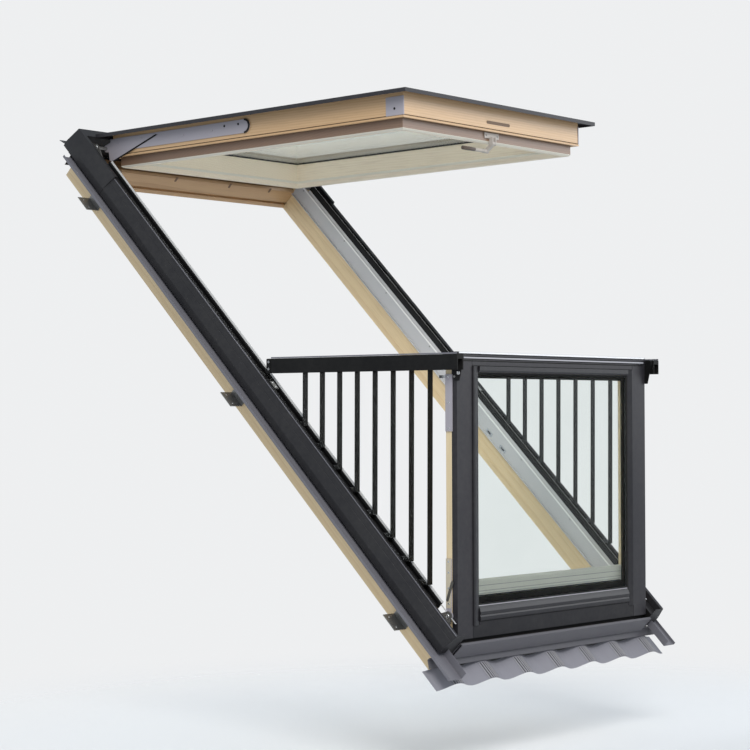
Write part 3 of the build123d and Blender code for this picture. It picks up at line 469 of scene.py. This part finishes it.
# Dark brown plates in the head's slots and in the front rail's recess: painted shade.
brown_painted_recess_shade = coated("brown_painted_recess_shade", "6a4f35", 0.45, 0.08)
cream_coat = coated("cream_coat", "c9bda6", 0.45, 0.08)
hinge_grey = coated("hinge_grey", "5c5954", 0.40, 0.10, metallic=0.5)
# A light grey for painted highlights on dark parts, the glint along each handrail and along each
# cover's fold, and for the lines on the inner profile.
painted_glint_and_line_grey = coated("painted_glint_and_line_grey", "74737b", 0.35, 0.05)
# Dark brown: a painted shadow of a groove on the upper sash's front face.
groove_brown_painted_shade = coated("groove_brown_painted_shade", "3a2a1c", 0.7, 0.03, specular=0.1)
pine_slope = pine("pine_along_slope", UP_THE_SLOPE, "e9d1a7", "cfad7d", 0.32)
pine_across = pine("pine_across", ACROSS)
pine_upright = pine("pine_upright", UPRIGHT, "ebd7b1", "d4b78a", 0.32)
pine_light_across = pine("pine_light_across", ACROSS, "e9d1a7", "cfad7d", 0.32)
pine_level = pine("pine_level", LEVEL)
# A darker copy of the pine: painted shade on the frame's head.
pine_head_painted_shade = pine("pine_head_painted_shade", ACROSS, "c6a176", "a0764a")
# A darker, browner copy of the pine: painted shade on the upper sash's lip face.
pine_lip_painted_shade = pine("pine_lip_painted_shade", ACROSS, "8f7460", "745a47", 0.4)
pine_pale = pine("pine_pale", LEVEL, "f2e6d0", "e3d0ae", 0.25)

GLASS_INDEX = 1.1
glass = bpy.data.materials.new("clear_glass")
glass.use_nodes = True
glass_tree = glass.node_tree
glass_surface = glass_tree.nodes["Principled BSDF"]
glass_place = glass_tree.nodes.new("ShaderNodeTexCoord")
glass_film = glass_tree.nodes.new("ShaderNodeGroup")
glass_film.node_tree = pane_group
glass_tree.links.new(glass_place.outputs["Object"], glass_film.inputs["Vector"])
glass_tree.links.new(glass_film.outputs["Colour"], glass_surface.inputs["Base Color"])
glass_tree.links.new(glass_film.outputs["Roughness"], glass_surface.inputs["Roughness"])
glass_surface.inputs["IOR"].default_value = GLASS_INDEX
glass_surface.inputs["Transmission Weight"].default_value = 1.0
print("materials:", len(bpy.data.materials))

# %% [markdown]
# The frame's own solids keep their shapes. Each one gets its finish by node
# name. The boards of one sash run in different directions, so its stiles and
# rails take different copies of the pine.

# %% Dress the CAD nodes
finishes = {
    "frame_sides": pine_slope, "frame_head": pine_head_painted_shade, "frame_sill": pine_light_across,
    "side_linings": lining_grey, "guide_rails": rail_grey, "side_covers": hood_grey,
    "head_cover": hood_grey, "sill_cover": tray_grey_painted_shade, "side_flashings": flashing_grey,
    "flashing_tray": tray_grey_painted_shade, "flashing_apron": apron_grey_painted_light, "mounting_brackets": zinc,
    "lower_hinge_plates": zinc, "upper_hinge_plates": zinc,
    "upper_stiles": pine_level, "upper_rail_front": pine_across, "upper_rail_rear": pine_across,
    "upper_side_claddings": anthracite, "upper_front_cladding": anthracite,
    "upper_rear_cladding": anthracite, "upper_glass": glass, "upper_spacer": spacer_grey,
    "hinge_arms": arm_grey, "corner_plates": arm_grey, "handle_base": handle_grey,
    "handle_lever": handle_grey,
    "lower_stiles": pine_upright, "lower_rail_top": pine_light_across,
    "lower_rail_bottom": pine_light_across, "lower_inner_profile": profile_grey,
    "lower_side_claddings": anthracite, "lower_top_cladding": anthracite,
    "lower_bottom_cladding": shaded_anthracite, "glazing_beads": bead_grey_painted_shade, "lower_glass": glass,
    "lower_spacer": spacer_grey, "side_straps": arm_grey, "rail_brackets": near_black,
}
repeated = {"handrail": near_black, "baluster": near_black, "rail_cap": black, "rear_shoe": black}
for name, obj in nodes.items():
    for start, finish in repeated.items():
        if name.startswith(start):
            finishes[name] = finish
    for place in obj.material_slots:
        place.material = finishes[name]
print("dressed", len(finishes), "nodes")

# %% [markdown]
# The small pieces are placed in the coordinates that the window was drawn in:
# along and out of the roof for the frame, depth and height for the lower sash,
# and the closed roof plane for the upper sash. Four short functions turn those
# millimetres into the shared frame's metres, so that every number below can be
# checked against a drawing of the window.

# %% Places on the window
ROOT = math.sqrt(0.5)
FOOT_S, HINGE_S, PIVOT_N = 64.0, 2466.0, 164.0  # both sashes' pivots, closed
SASH_FOOT = (-105.71, 83.22)  # row depth and height of the lower sash's front lower edge
RAIL_PIN = (-123.21, 1017.22)  # and of the handrails' front pins
CANOPY_TILT = math.radians(-1.0)
SIDES = (("right", 1), ("left", -1))


def metres(x, y, z):
    """Points in row metres from coordinates in millimetres, each a number or an array."""
    return np.stack(np.broadcast_arrays(*(np.asarray(v, float) for v in (x, y, z))), -1) / 1000


def on_roof(x, s, n):
    """s climbs the slope and n points out of it, both turned 45 degrees into the row."""
    s, n = np.asarray(s, float), np.asarray(n, float)
    return metres(x, (s - n) * ROOT, (s + n) * ROOT)


def on_sash(x, depth, height):
    """Lower sash, upright: depth behind its front, height above its foot."""
    depth, height = np.asarray(depth, float), np.asarray(height, float)
    return metres(x, depth + SASH_FOOT[0], height + SASH_FOOT[1])


def on_canopy(x, s, n):
    """Upper sash: a point of the closed roof plane, turned about the upper hinge until open."""
    ds, dn = np.asarray(s, float) - HINGE_S, np.asarray(n, float) - PIVOT_N
    y = (HINGE_S - PIVOT_N) * ROOT + ds * math.cos(CANOPY_TILT) - dn * math.sin(CANOPY_TILT)
    z = (HINGE_S + PIVOT_N) * ROOT + ds * math.sin(CANOPY_TILT) + dn * math.cos(CANOPY_TILT)
    return metres(x, y, z)


def on_rail(x, behind, above):
    """Handrail: distance behind its front pin, height above it."""
    behind, above = np.asarray(behind, float), np.asarray(above, float)
    return metres(x, behind + RAIL_PIN[0], above + RAIL_PIN[1])


def direction(place, step):
    """The unit vector in row axes of one step in a place's own coordinates."""
    vector = place(*step) - place(0, 0, 0)
    return vector / np.linalg.norm(vector)


print("lower hinge at", np.round(on_roof(0, FOOT_S, PIVOT_N), 4))

# %% [markdown]
# Seals come first. A gasket is one small profile carried round a rectangle
# with mitred corners, which is how the real rubber is cut and welded. The
# glass of each sash has one on both sides, and the upper sash has a seal more
# where it meets its frame. Round the lower sash's cladding joint the same kind
# of black strip is painted shade, wider than the gap's own shadow. The upper
# sash is seen from below, so the same way of carrying a profile gives it the
# lip, the pale bead and the bevel that run round its opening. Its lip face is
# covered with a darker pine as painted shade, and the dark line above its outer
# bead is a painted shadow of a groove.

# %% Seals and glazing beads


def window_loop(place, half, low, high, level):
    """The four corners of a rectangle in a sash's own plane."""
    x = np.array([-half, half, half, -half])
    across = np.array([low, low, high, high])
    return place(x, level, across) if place is on_sash else place(x, across, level)


# Each profile is (away from the opening, out of the sash) in millimetres
LIP = [(-4.5, 0), (0.5, 0), (0.5, 3.4), (-1.5, 3.0), (-4.0, 1.0)]
JOINT = [(-3, 0), (3, 0), (3, 1.6), (-3, 1.6)]
BEAD = [(-2.2, -1), (4.0, -1), (4.0, 7), (1.0, 9), (-2.2, 6)]
TUBE = [(-0.5, 0), (2.0, 0.6), (2.8, 2.5), (2.6, 5.5), (-0.5, 6)]
LIP_FACE = [(-0.2, 0), (0.5, 0), (0.5, 33), (-0.2, 33)]
LIP_EDGE = [(-5.3, 87.7), (-4.8, 87.1), (0.7, 92.5), (0.6, 93.8), (-0.2, 93.8), (-5.3, 88.4)]
INNER_FACE = [(0, 184.5), (0, 103), (10, 88), (30, 88), (30, 87.4), (9.7, 87.4), (-0.6, 102.8),
              (-0.6, 184.5)]
GROOVE = [(-1, 0), (0.4, 0), (0.4, 2.4), (-1, 2.4)]
forward_of_sash = direction(on_sash, (0, -1, 0))
above_canopy = direction(on_canopy, (0, 0, 1))

# A loop is (half width, low edge, high edge) in millimetres
LOWER_SIGHT, LOWER_BACK, LOWER_JOINT = (456, 108, 885), (459, 132.5, 872.5), (491, 53, 909)
UPPER_SIGHT, UPPER_TOP = (470.5, 1051.5, 2375.5), (479, 1043, 2384)
UPPER_INNER, UPPER_OPENING = (470, 1052, 2375), (471, 1051, 2376)
UPPER_LIP, UPPER_OUTER = (506, 1016, 2411), (528, 994, 2433)

# name: (profile, place, loop, level, out, material)
GASKETS = {
    "lower_front_gasket": (LIP, on_sash, LOWER_SIGHT, 6, forward_of_sash, rubber_and_shade),
    "lower_back_gasket": (LIP, on_sash, LOWER_BACK, 30, -forward_of_sash, rubber_and_shade),
    "upper_under_gasket": (LIP, on_canopy, UPPER_SIGHT, 185, -above_canopy, rubber_and_shade),
    "upper_top_gasket": (LIP, on_canopy, UPPER_TOP, 209, above_canopy, rubber_and_shade),
    "upper_inner_bead": (BEAD, on_canopy, UPPER_INNER, 104, above_canopy, pale_bead),
    "upper_seal": (TUBE, on_canopy, UPPER_LIP, 127, above_canopy, rubber_and_shade),
    # The lip face is covered with darker pine: painted shade.
    "upper_lip_face": (LIP_FACE, on_canopy, UPPER_LIP, 94, above_canopy, pine_lip_painted_shade),
    "upper_lip_edge": (LIP_EDGE, on_canopy, UPPER_LIP, 0, above_canopy, pale_bead),
    "upper_inner_face": (INNER_FACE, on_canopy, UPPER_OPENING, 0, above_canopy, pine_pale),
    # A thin dark strip above the outer bead: painted shadow of a groove.
    "upper_face_groove": (GROOVE, on_canopy, UPPER_OUTER, 133.5, above_canopy, groove_brown_painted_shade),
    # The joint strip's black is painted shade, wider than the real gap.
    "lower_joint_seal": (JOINT, on_sash, LOWER_JOINT, 3.9, forward_of_sash, rubber_and_shade),
}
for name, (profile, place, loop, level, out, material) in GASKETS.items():
    body = "lower_sash" if place is on_sash else "upper_sash"
    points, faces = mitred(np.asarray(profile) / 1000, window_loop(place, *loop, level), out)
    make_piece(name, points, faces, material, body)
print("gaskets:", len(GASKETS))

# %% [markdown]
# Screws and rivets are turned shapes: a short profile spun about an axis. All
# the heads of one kind that ride on one body share one mesh, because they are
# the same part repeated. The recess is part of the profile. Nearly all of them
# come on both sides of the window, so they are listed once, by their distance
# from its middle.

# %% Screws, rivets and pin heads
SASH_SIDE, LINING_FACE = 579, 578  # faces that look inwards or outwards, from the middle
CANOPY_SIDE, GUSSET_FACE, RAIL_SIDE = 532, 533.5, 618
PLATE_X, PIN_X, BRACKET_X, COVER_X, CORNER_X = 602, 586, 623, 626.5, 530
PLATE_N, CLIP_N = 150, 175.2  # tops of the hinge plates' feet and of the shoes' clips
HEAD_SIDES, GRIP_SIDES = 20, 24
PAN = (zinc, 4.2, 1.8)  # the common screw: its material, radius and height


def head_profile(radius, height):
    """(radius, height) rows of a pan head with a round recess, in millimetres."""
    return [(0.001, height * 0.35), (radius * 0.34, height * 0.35), (radius * 0.42, height),
            (radius * 0.72, height), (radius * 0.93, height * 0.72), (radius, height * 0.3),
            (radius, -0.2)]


def heads(name, places, axis, body, material, radius, height):
    """Screw heads at row positions, standing along one axis."""
    places = places.reshape(-1, 3)
    profile = np.asarray(head_profile(radius, height)) / 1000
    points, faces = turned(profile, places, axis, HEAD_SIDES)
    make_piece(name, points, faces, material, body, smooth=True)


# name: (place, x, the other two coordinates, which way it faces, body, material, radius, height)
SIDE_HEADS = {
    "lower_plate_screws": (on_roof, PLATE_X, (46, 82), PLATE_N, "up", "frame", *PAN),
    "upper_plate_screws": (on_roof, PLATE_X, (2396, 2424, 2452), PLATE_N, "up", "frame", *PAN),
    "lower_pin_head": (on_roof, PIN_X, FOOT_S, PIVOT_N, "out", "frame", bright_steel, 8, 3),
    "upper_pin_head": (on_roof, PIN_X, HINGE_S, PIVOT_N, "out", "frame", bright_steel, 9, 3),
    "bracket_leg_screws": (on_roof, BRACKET_X, (152, 188, 1212, 1248, 2272, 2308), 56, "out",
                           "frame", *PAN),
    "lining_screws": (on_roof, LINING_FACE, range(150, 2400, 320), 132, "in", "frame",
                      zinc, 3.2, 0.8),
    "cover_screws": (on_roof, COVER_X, range(120, 2300, 420), 174, "up", "frame",
                     near_black, 3.4, 1.2),
    "strap_screws": (on_sash, SASH_SIDE, 35, (118, 170, 222, 258), "out", "lower_sash",
                     bright_steel, 4.0, 0.7),
    "lock_strip_screws": (on_sash, SASH_SIDE, 34, (700, 786, 872), "out", "lower_sash",
                          bright_steel, 4.0, 0.7),
    "rail_pin_head": (on_sash, SASH_SIDE, -10, 884, "out", "lower_sash", bright_steel, 6.5, 4),
    "rail_plate_screws": (on_sash, SASH_SIDE, 8, (872, 912), "out", "lower_sash", zinc, 4, 1.5),
    "arm_rivets": (on_canopy, CANOPY_SIDE, (1900, 2050), 172, "out", "upper_sash",
                   arm_grey, 5, 1.6),
    "arm_end_rivets": (on_canopy, CANOPY_SIDE, (1766, 1836), 184, "out", "upper_sash",
                       near_black, 4.5, 1.4),
    "gusset_rivets": (on_canopy, GUSSET_FACE, (2270, 2400), 182, "out", "upper_sash",
                      arm_grey, 5, 1.6),
    "corner_screw": (on_canopy, CORNER_X, 1032, 158, "out", "upper_sash", near_black, 4.5, 1.0),
    "rail_end_screws": (on_rail, RAIL_SIDE, 824, (0, -25), "out", "handrail_{side}",
                        bright_steel, 5.5, 1.6),
    "shoe_clip_screws": (on_roof, 601, (1140, 1160), CLIP_N, "up", "rear_shoe_{side}",
                         bright_steel, 3.8, 1.4),
}
out_of_roof = direction(on_roof, (0, 0, 1))
for side, sign in SIDES:
    outwards = np.array([sign, 0, 0.0])
    ways = {"out": outwards, "in": -outwards, "up": out_of_roof}
    for name, (place, x, a, b, way, body, *head) in SIDE_HEADS.items():
        heads(f"{name}_{side}", place(sign * x, a, b), ways[way], body.format(side=side), *head)
heads("hood_screws", on_roof(np.linspace(-500, 500, 6), 2528, 183.5), out_of_roof, "frame",
      near_black, 4.5, 1.6)
heads("sill_screws", on_roof(np.linspace(-480, 480, 7), 0, 79.5), out_of_roof, "frame",
      zinc, 4, 1.4)
heads("handle_screws", on_canopy((-33, 33), 1011, 114), -direction(on_canopy, (0, 1, 0)),
      "upper_sash", zinc, 3.6, 1.4)

# The sleeve of the handle's grip is turned too, about the bar that it is pushed onto.
# Its dark brown is painted shade on the grip's outer end.
GRIP = [(0.001, -0.8), (6.0, -0.8), (7.1, 0.6), (7.1, 70), (6.6, 71), (6.4, 71)]
GRIP_START = (-143, 1036.1, 61.6)
grip_start = on_canopy(*GRIP_START).reshape(1, 3)
points, faces = turned(np.asarray(GRIP) / 1000, grip_start, (1, 0, 0), GRIP_SIDES)
make_piece("grip_shade_sleeve", points, faces, grip_brown_painted_shade, "handle", smooth=True)
print("kinds of heads:", len(SIDE_HEADS) + 3)

# %% [markdown]
# What is left are thin plates and strips. On the frame they are the bright
# upstand and the rubber lip of each guide rail, a painted highlight along the
# lining's edge, the filler in the timber's groove, the strike plates that the
# upper sash locks into, and the closed ends at the foot. On the sashes they are
# the parapet's cap, whose bright nosing and pale ridge line are painted
# highlights and whose black grooves are painted shade, and catches, stays,
# gussets and seals. Painted shade also lies as black strips under the lower
# sash's foot and over the sill timber's front, and as dark brown plates in the
# head's slots and the front rail's recess. Painted highlights also run along
# each handrail, each cover's fold and the top edge of the bottom glazing bead.
# Each is an outline pushed straight through its thickness. What comes on both
# sides is listed once, for the right, and made twice.

# %% Strips, plates and catches


def pushed(name, place, x, outline, body, material):
    """An outline in a place's other two coordinates, pushed along X between two values."""
    a, b = np.asarray(outline, float).T
    make_piece(name, *slab(place(x[0], a, b), place(x[1], a, b)), material, body)


def box(across, along):
    """The outline of a rectangle from its two (low, high) pairs."""
    (a0, a1), (b0, b1) = across, along
    return [(a0, b0), (a1, b0), (a1, b1), (a0, b1)]


def tablet(middle, size, radius, turn=0.0):
    """The outline of a rounded rectangle about a middle, turned by an angle."""
    u, v = rounded(*size, radius).T
    c, s = math.cos(turn), math.sin(turn)
    return np.stack([middle[0] + u * c - v * s, middle[1] + u * s + v * c], -1)


def half_circle(middle, radius):
    """Half a circle, open on the side where the first coordinate grows."""
    angle = np.radians(np.linspace(90, 270, 25))
    return np.stack([middle[0] + radius * np.cos(angle), middle[1] + radius * np.sin(angle)], -1)


def front_plate(name, place, x, s, n, size, radius, body, material):
    """A rounded plate square to the slope, between two values of s, its middle at x and n."""
    outline = rounded(*size, radius)
    near, far = (place(outline[:, 0] + x, level, outline[:, 1] + n) for level in s)
    make_piece(name, *slab(near, far), material, body)


NOSING = [(-3.6, 949), (-4.8, 950.5), (-4.8, 954), (-3.0, 955.8), (6, 955.8), (6, 954.8),
          (-2.6, 954.8)]
BEAD_EDGE = [(3.2, 103.8), (5.8, 107.7), (5.2, 108.0), (2.6, 104.1)]

# name: (place, half width, outline in depth and height or s and n, body, material)
MIDDLE_STRIPS = {
    # The bright nosing is a painted highlight on the cap's rounded front edge.
    "cap_nosing": (on_sash, 568, NOSING, "lower_sash", satin_and_highlight),
    "sash_foot_seal": (on_sash, 574, box((13, 21), (-12.5, 1.5)), "lower_sash", rubber_and_shade),
    # A pale line on the cap: painted highlight along its ridge.
    "cap_ridge_line": (on_sash, 562, box((-3.6, -2.8), (933.2, 938.2)), "lower_sash", painted_highlight_grey),
    "cap_shadow_joint": (on_sash, 560, box((-0.5, 0.3), (923.5, 927)), "lower_sash", rubber_and_shade),
    # A black strip over the underside of the foot: painted shadow under the sash.
    "sash_foot_cover": (on_sash, 574.4, box((4.4, 45.6), (1.0, 2.1)), "lower_sash", rubber_and_shade),
    # A pale line along the bead's top edge: painted highlight.
    "bead_edge_line": (on_sash, 455, BEAD_EDGE, "lower_sash", painted_highlight_grey),
    # A black strip over the sill timber's front: painted shade under the sash.
    "sill_foam": (on_roof, 579, box((-31.2, -29.8), (2, 74)), "frame", rubber_and_shade),
}
CAP_GROOVES, GROOVE_HALF = (931.0, 938.9, 947.8), 0.9
PROFILE_LINES, LINE_HALF = (141, 150, 168), 0.8
# The cap's grooves are flat black strips: painted shade, not cut into the shape.
for k, height in enumerate(CAP_GROOVES):
    groove = box((-0.5, 0.5), (height - GROOVE_HALF, height + GROOVE_HALF))
    MIDDLE_STRIPS[f"cap_groove_{k}"] = (on_sash, 570, groove, "lower_sash", rubber_and_shade)
for k, height in enumerate(PROFILE_LINES):
    line = box((31.4, 32.1), (height - LINE_HALF, height + LINE_HALF))
    MIDDLE_STRIPS[f"profile_line_{k}"] = (on_sash, 459, line, "lower_sash", painted_glint_and_line_grey)
for name, (place, half, *rest) in MIDDLE_STRIPS.items():
    pushed(name, place, (-half, half), *rest)

ARM_END, ARM_END_RADIUS, CAP_WIDTH = (1736, 174), 27, 7
ARM_CAP = np.concatenate([half_circle(ARM_END, ARM_END_RADIUS),
                          half_circle(ARM_END, ARM_END_RADIUS - CAP_WIDTH)[::-1]])
GUSSET = [(2191, 190), (2428, 112), (2446, 116), (2452, 150), (2440, 197), (2205, 197)]
GUSSET_EDGE = [(2185, 189), (2424, 110), (2430, 113), (2194, 192)]
STAY = tablet((29.5, 160), (11, 72), 5.4, math.radians(19))
STRIKES, STRIKE_N = (882, 974), 97
RAIL_SKIN, LIP_FROM_EDGE, RAIL_TOP = 579.9, 580.7, 174.5  # the guide rail's inner side and top
LINING_SKIN, STRAP_SKIN, EDGE_FACE = 576.6, 579.2, 534

# name: (place, from and to in x, outline, body, material)
SIDE_STRIPS = {
    "rail_edge": (on_roof, (LIP_FROM_EDGE, 581.5), box((112, 2366), (RAIL_TOP, 182.6)), "frame",
                  white_edge_and_highlight),
    "rail_lip": (on_roof, (RAIL_SKIN, LIP_FROM_EDGE), box((111, 2367), (RAIL_TOP, 182.4)),
                 "frame", rubber_and_shade),
    "rail_foot_strip": (on_roof, (RAIL_SKIN, 580.4), box((112, 2368), (146, 156)), "frame",
                        lining_grey),
    "rail_toe_edge": (on_roof, (RAIL_SKIN, 585.5), box((24, 112.5), (169.6, 171.0)), "frame",
                      satin_and_highlight),
    "rail_foot_plate": (on_roof, (580.2, 619), box((-30.6, 35), (145.8, 147.2)), "frame",
                        near_black),
    "sill_end_plate": (on_roof, (579.2, 580), box((-30.4, 29), (78, 146.5)), "frame", near_black),
    # A light strip along each cover's fold: painted highlight.
    "cover_fold": (on_roof, (630.6, 633), box((-28, 2262), (173.8, 175.4)), "frame", painted_glint_and_line_grey),
    # A white strip along each lining's edge: painted highlight.
    "lining_bead": (on_roof, (LINING_SKIN, LINING_FACE), box((36, 2424), (137.5, 143.5)),
                    "frame", white_edge_and_highlight),
    "groove_filler": (on_roof, (580.8, 584), box((31, 2429), (18.1, 29.9)), "frame", pine_slope),
    "stay": (on_sash, (STRAP_SKIN, 579.7), STAY, "lower_sash", hinge_grey),
    "strap_face": (on_sash, (578.9, STRAP_SKIN), box((24.4, 45.6), (104, 267.6)), "lower_sash",
                   cream_coat),
    "catch": (on_sash, (564, 573), box((46, 76), (867, 877)), "lower_sash", bright_steel),
    "catch_plate": (on_sash, (552, 573), box((46, 48), (848, 892)), "lower_sash", zinc),
    "arm_end_cap": (on_canopy, (CANOPY_SIDE, EDGE_FACE), ARM_CAP, "upper_sash", rubber_and_shade),
    "gusset": (on_canopy, (CANOPY_SIDE, GUSSET_FACE), GUSSET, "upper_sash", arm_grey),
    "gusset_edge": (on_canopy, (CANOPY_SIDE, EDGE_FACE), GUSSET_EDGE, "upper_sash", rubber_and_shade),
    # A light strip along each handrail's rounded edge: painted glint.
    "handrail_trim": (on_rail, (617.4, 618.5), box((-16, 812), (12.4, 17.0)), "handrail_{side}",
                      painted_glint_and_line_grey),
    "rail_end_plate": (on_rail, (RAIL_SIDE, 619.5), tablet((824, -13), (19, 48), 3),
                       "handrail_{side}", near_black),
    "shoe_clip": (on_roof, (592, 610), box((1132, 1168), (174, CLIP_N)), "rear_shoe_{side}", zinc),
}
for k, s in enumerate(STRIKES):
    plate, slot = tablet((s, STRIKE_N), (38, 15), 3), tablet((s, STRIKE_N), (20, 5), 2)
    SIDE_STRIPS[f"strike_plate_{k}"] = (on_roof, (LINING_FACE, LINING_SKIN), plate, "frame",
                                        bright_steel)
    SIDE_STRIPS[f"strike_slot_{k}"] = (on_roof, (LINING_SKIN, 576.2), slot, "frame", near_black)
for side, sign in SIDES:
    for name, (place, (x0, x1), outline, body, material) in SIDE_STRIPS.items():
        pushed(f"{name}_{side}", place, (sign * x0, sign * x1), outline, body.format(side=side),
               material)

# Dark brown plates in the head's slots and in the front rail's recess are painted shade.
HEAD_SLOTS = (-432, -122, 189, 432)
for x in HEAD_SLOTS:
    front_plate(f"head_slot_shade_{x}", on_roof, x, (2430.2, 2429.2), 84, (11, 22), 3, "frame",
                brown_painted_recess_shade)
front_plate("front_recess_shade", on_canopy, 17, (994, 992.8), 158, (140, 11), 5.4, "upper_sash",
            brown_painted_recess_shade)
print("kinds of strips:", len(MIDDLE_STRIPS) + len(SIDE_STRIPS))

# %% [markdown]
# The apron's pleats are pressed into the crest of every wave. A thin raised
# seam on each one is paler than the apron, a painted highlight, and a dark
# strip beside it is a painted shadow of its furrow. They follow the same cosine
# as the apron, so they lie on its surface.

# %% Apron seams
HALF, WAVES, WAVE_HEIGHT, CREST = 690.0, 7, 24.0, 48.7
WAVE = 2 * HALF / WAVES
PLEATS, PLEAT_STEP = 5, 11.0  # on each crest
SEAM_ENDS = (-125, -58)  # in s, lower and upper
FURROW_BESIDE = 4.2
RIDGE = np.array([(-1.8, -0.4), (0, 2.4), (1.8, -0.4)])
FURROW = np.array([(-1.5, -1.5), (-1.5, 0.7), (1.5, 0.7), (1.5, -1.5)])


def apron_level(x):
    """Height of the apron's top at x: half the wave height times (1 + cos) below the crest."""
    return CREST - WAVE_HEIGHT / 2 * (1 + np.cos(2 * math.pi * (x + HALF) / WAVE))


def pleat_strips(name, places, outline, material):
    """One mesh of strips: the outline, set on the apron at every place, runs down the slope."""
    x = places[:, None] + outline[None, :, 0]
    n = apron_level(places)[:, None] + outline[None, :, 1]
    points = np.stack([on_roof(x, s, n) for s in SEAM_ENDS], 1).reshape(-1, 3)
    count = len(outline)
    strip = [tuple(range(count)), tuple(range(count, 2 * count))]
    strip += [(i, (i + 1) % count, count + (i + 1) % count, count + i) for i in range(count)]
    faces = [tuple(i + 2 * count * k for i in face) for k in range(len(places)) for face in strip]
    make_piece(name, points, faces, material, "frame")


crests = (np.arange(WAVES) + 0.5) * WAVE - HALF
pleats = (crests[:, None] + PLEAT_STEP * (np.arange(PLEATS) - PLEATS // 2)).ravel()
pleat_strips("apron_seams", pleats, RIDGE, painted_highlight_grey)
pleat_strips("apron_furrow_shade", pleats + FURROW_BESIDE, FURROW, shaded_anthracite)
print("apron seams:", len(pleats))

# %% [markdown]
# The floor lies just below the window's foot, where the photograph has the
# roof. Near the window it takes a soft shadow, and further out it turns clear,
# so that it ends without a horizon.

# %% Floor
REACH, FLOOR_LEVEL = 14.0, -0.35
FADE_START, FADE_END = 0.9, 3.4  # distances from the origin, in metres
corners = [(x * REACH, y * REACH, FLOOR_LEVEL) for x, y in ((-1, -1), (1, -1), (1, 1), (-1, 1))]
floor_mesh = bpy.data.meshes.new("floor")
floor_mesh.from_pydata(corners, [], [(0, 1, 2, 3)])
floor = bpy.data.objects.new("floor", floor_mesh)
scene.collection.objects.link(floor)
floor_paint = bpy.data.materials.new("floor_paint")
floor_paint.use_nodes = True
floor_tree = floor_paint.node_tree
floor_surface = floor_tree.nodes["Principled BSDF"]
floor_surface.inputs["Base Color"].default_value = (0.84, 0.85, 0.86, 1)
floor_surface.inputs["Roughness"].default_value = 0.95
floor_surface.inputs["Specular IOR Level"].default_value = 0.0
floor_clear = floor_tree.nodes.new("ShaderNodeBsdfTransparent")
floor_place = floor_tree.nodes.new("ShaderNodeTexCoord")
floor_far = floor_tree.nodes.new("ShaderNodeVectorMath")
floor_far.operation = "LENGTH"
floor_tree.links.new(floor_place.outputs["Object"], floor_far.inputs[0])
floor_fade = floor_tree.nodes.new("ShaderNodeMapRange")
floor_fade.interpolation_type = "SMOOTHERSTEP"
floor_fade.inputs["From Min"].default_value = FADE_START
floor_fade.inputs["From Max"].default_value = FADE_END
floor_tree.links.new(floor_far.outputs["Value"], floor_fade.inputs["Value"])
floor_mix = floor_tree.nodes.new("ShaderNodeMixShader")
floor_tree.links.new(floor_fade.outputs["Result"], floor_mix.inputs[0])
floor_tree.links.new(floor_surface.outputs[0], floor_mix.inputs[1])
floor_tree.links.new(floor_clear.outputs[0], floor_mix.inputs[2])
floor_out = floor_tree.nodes["Material Output"]
floor_tree.links.new(floor_mix.outputs[0], floor_out.inputs["Surface"])
floor_mesh.materials.append(floor_paint)
print("floor at", FLOOR_LEVEL)
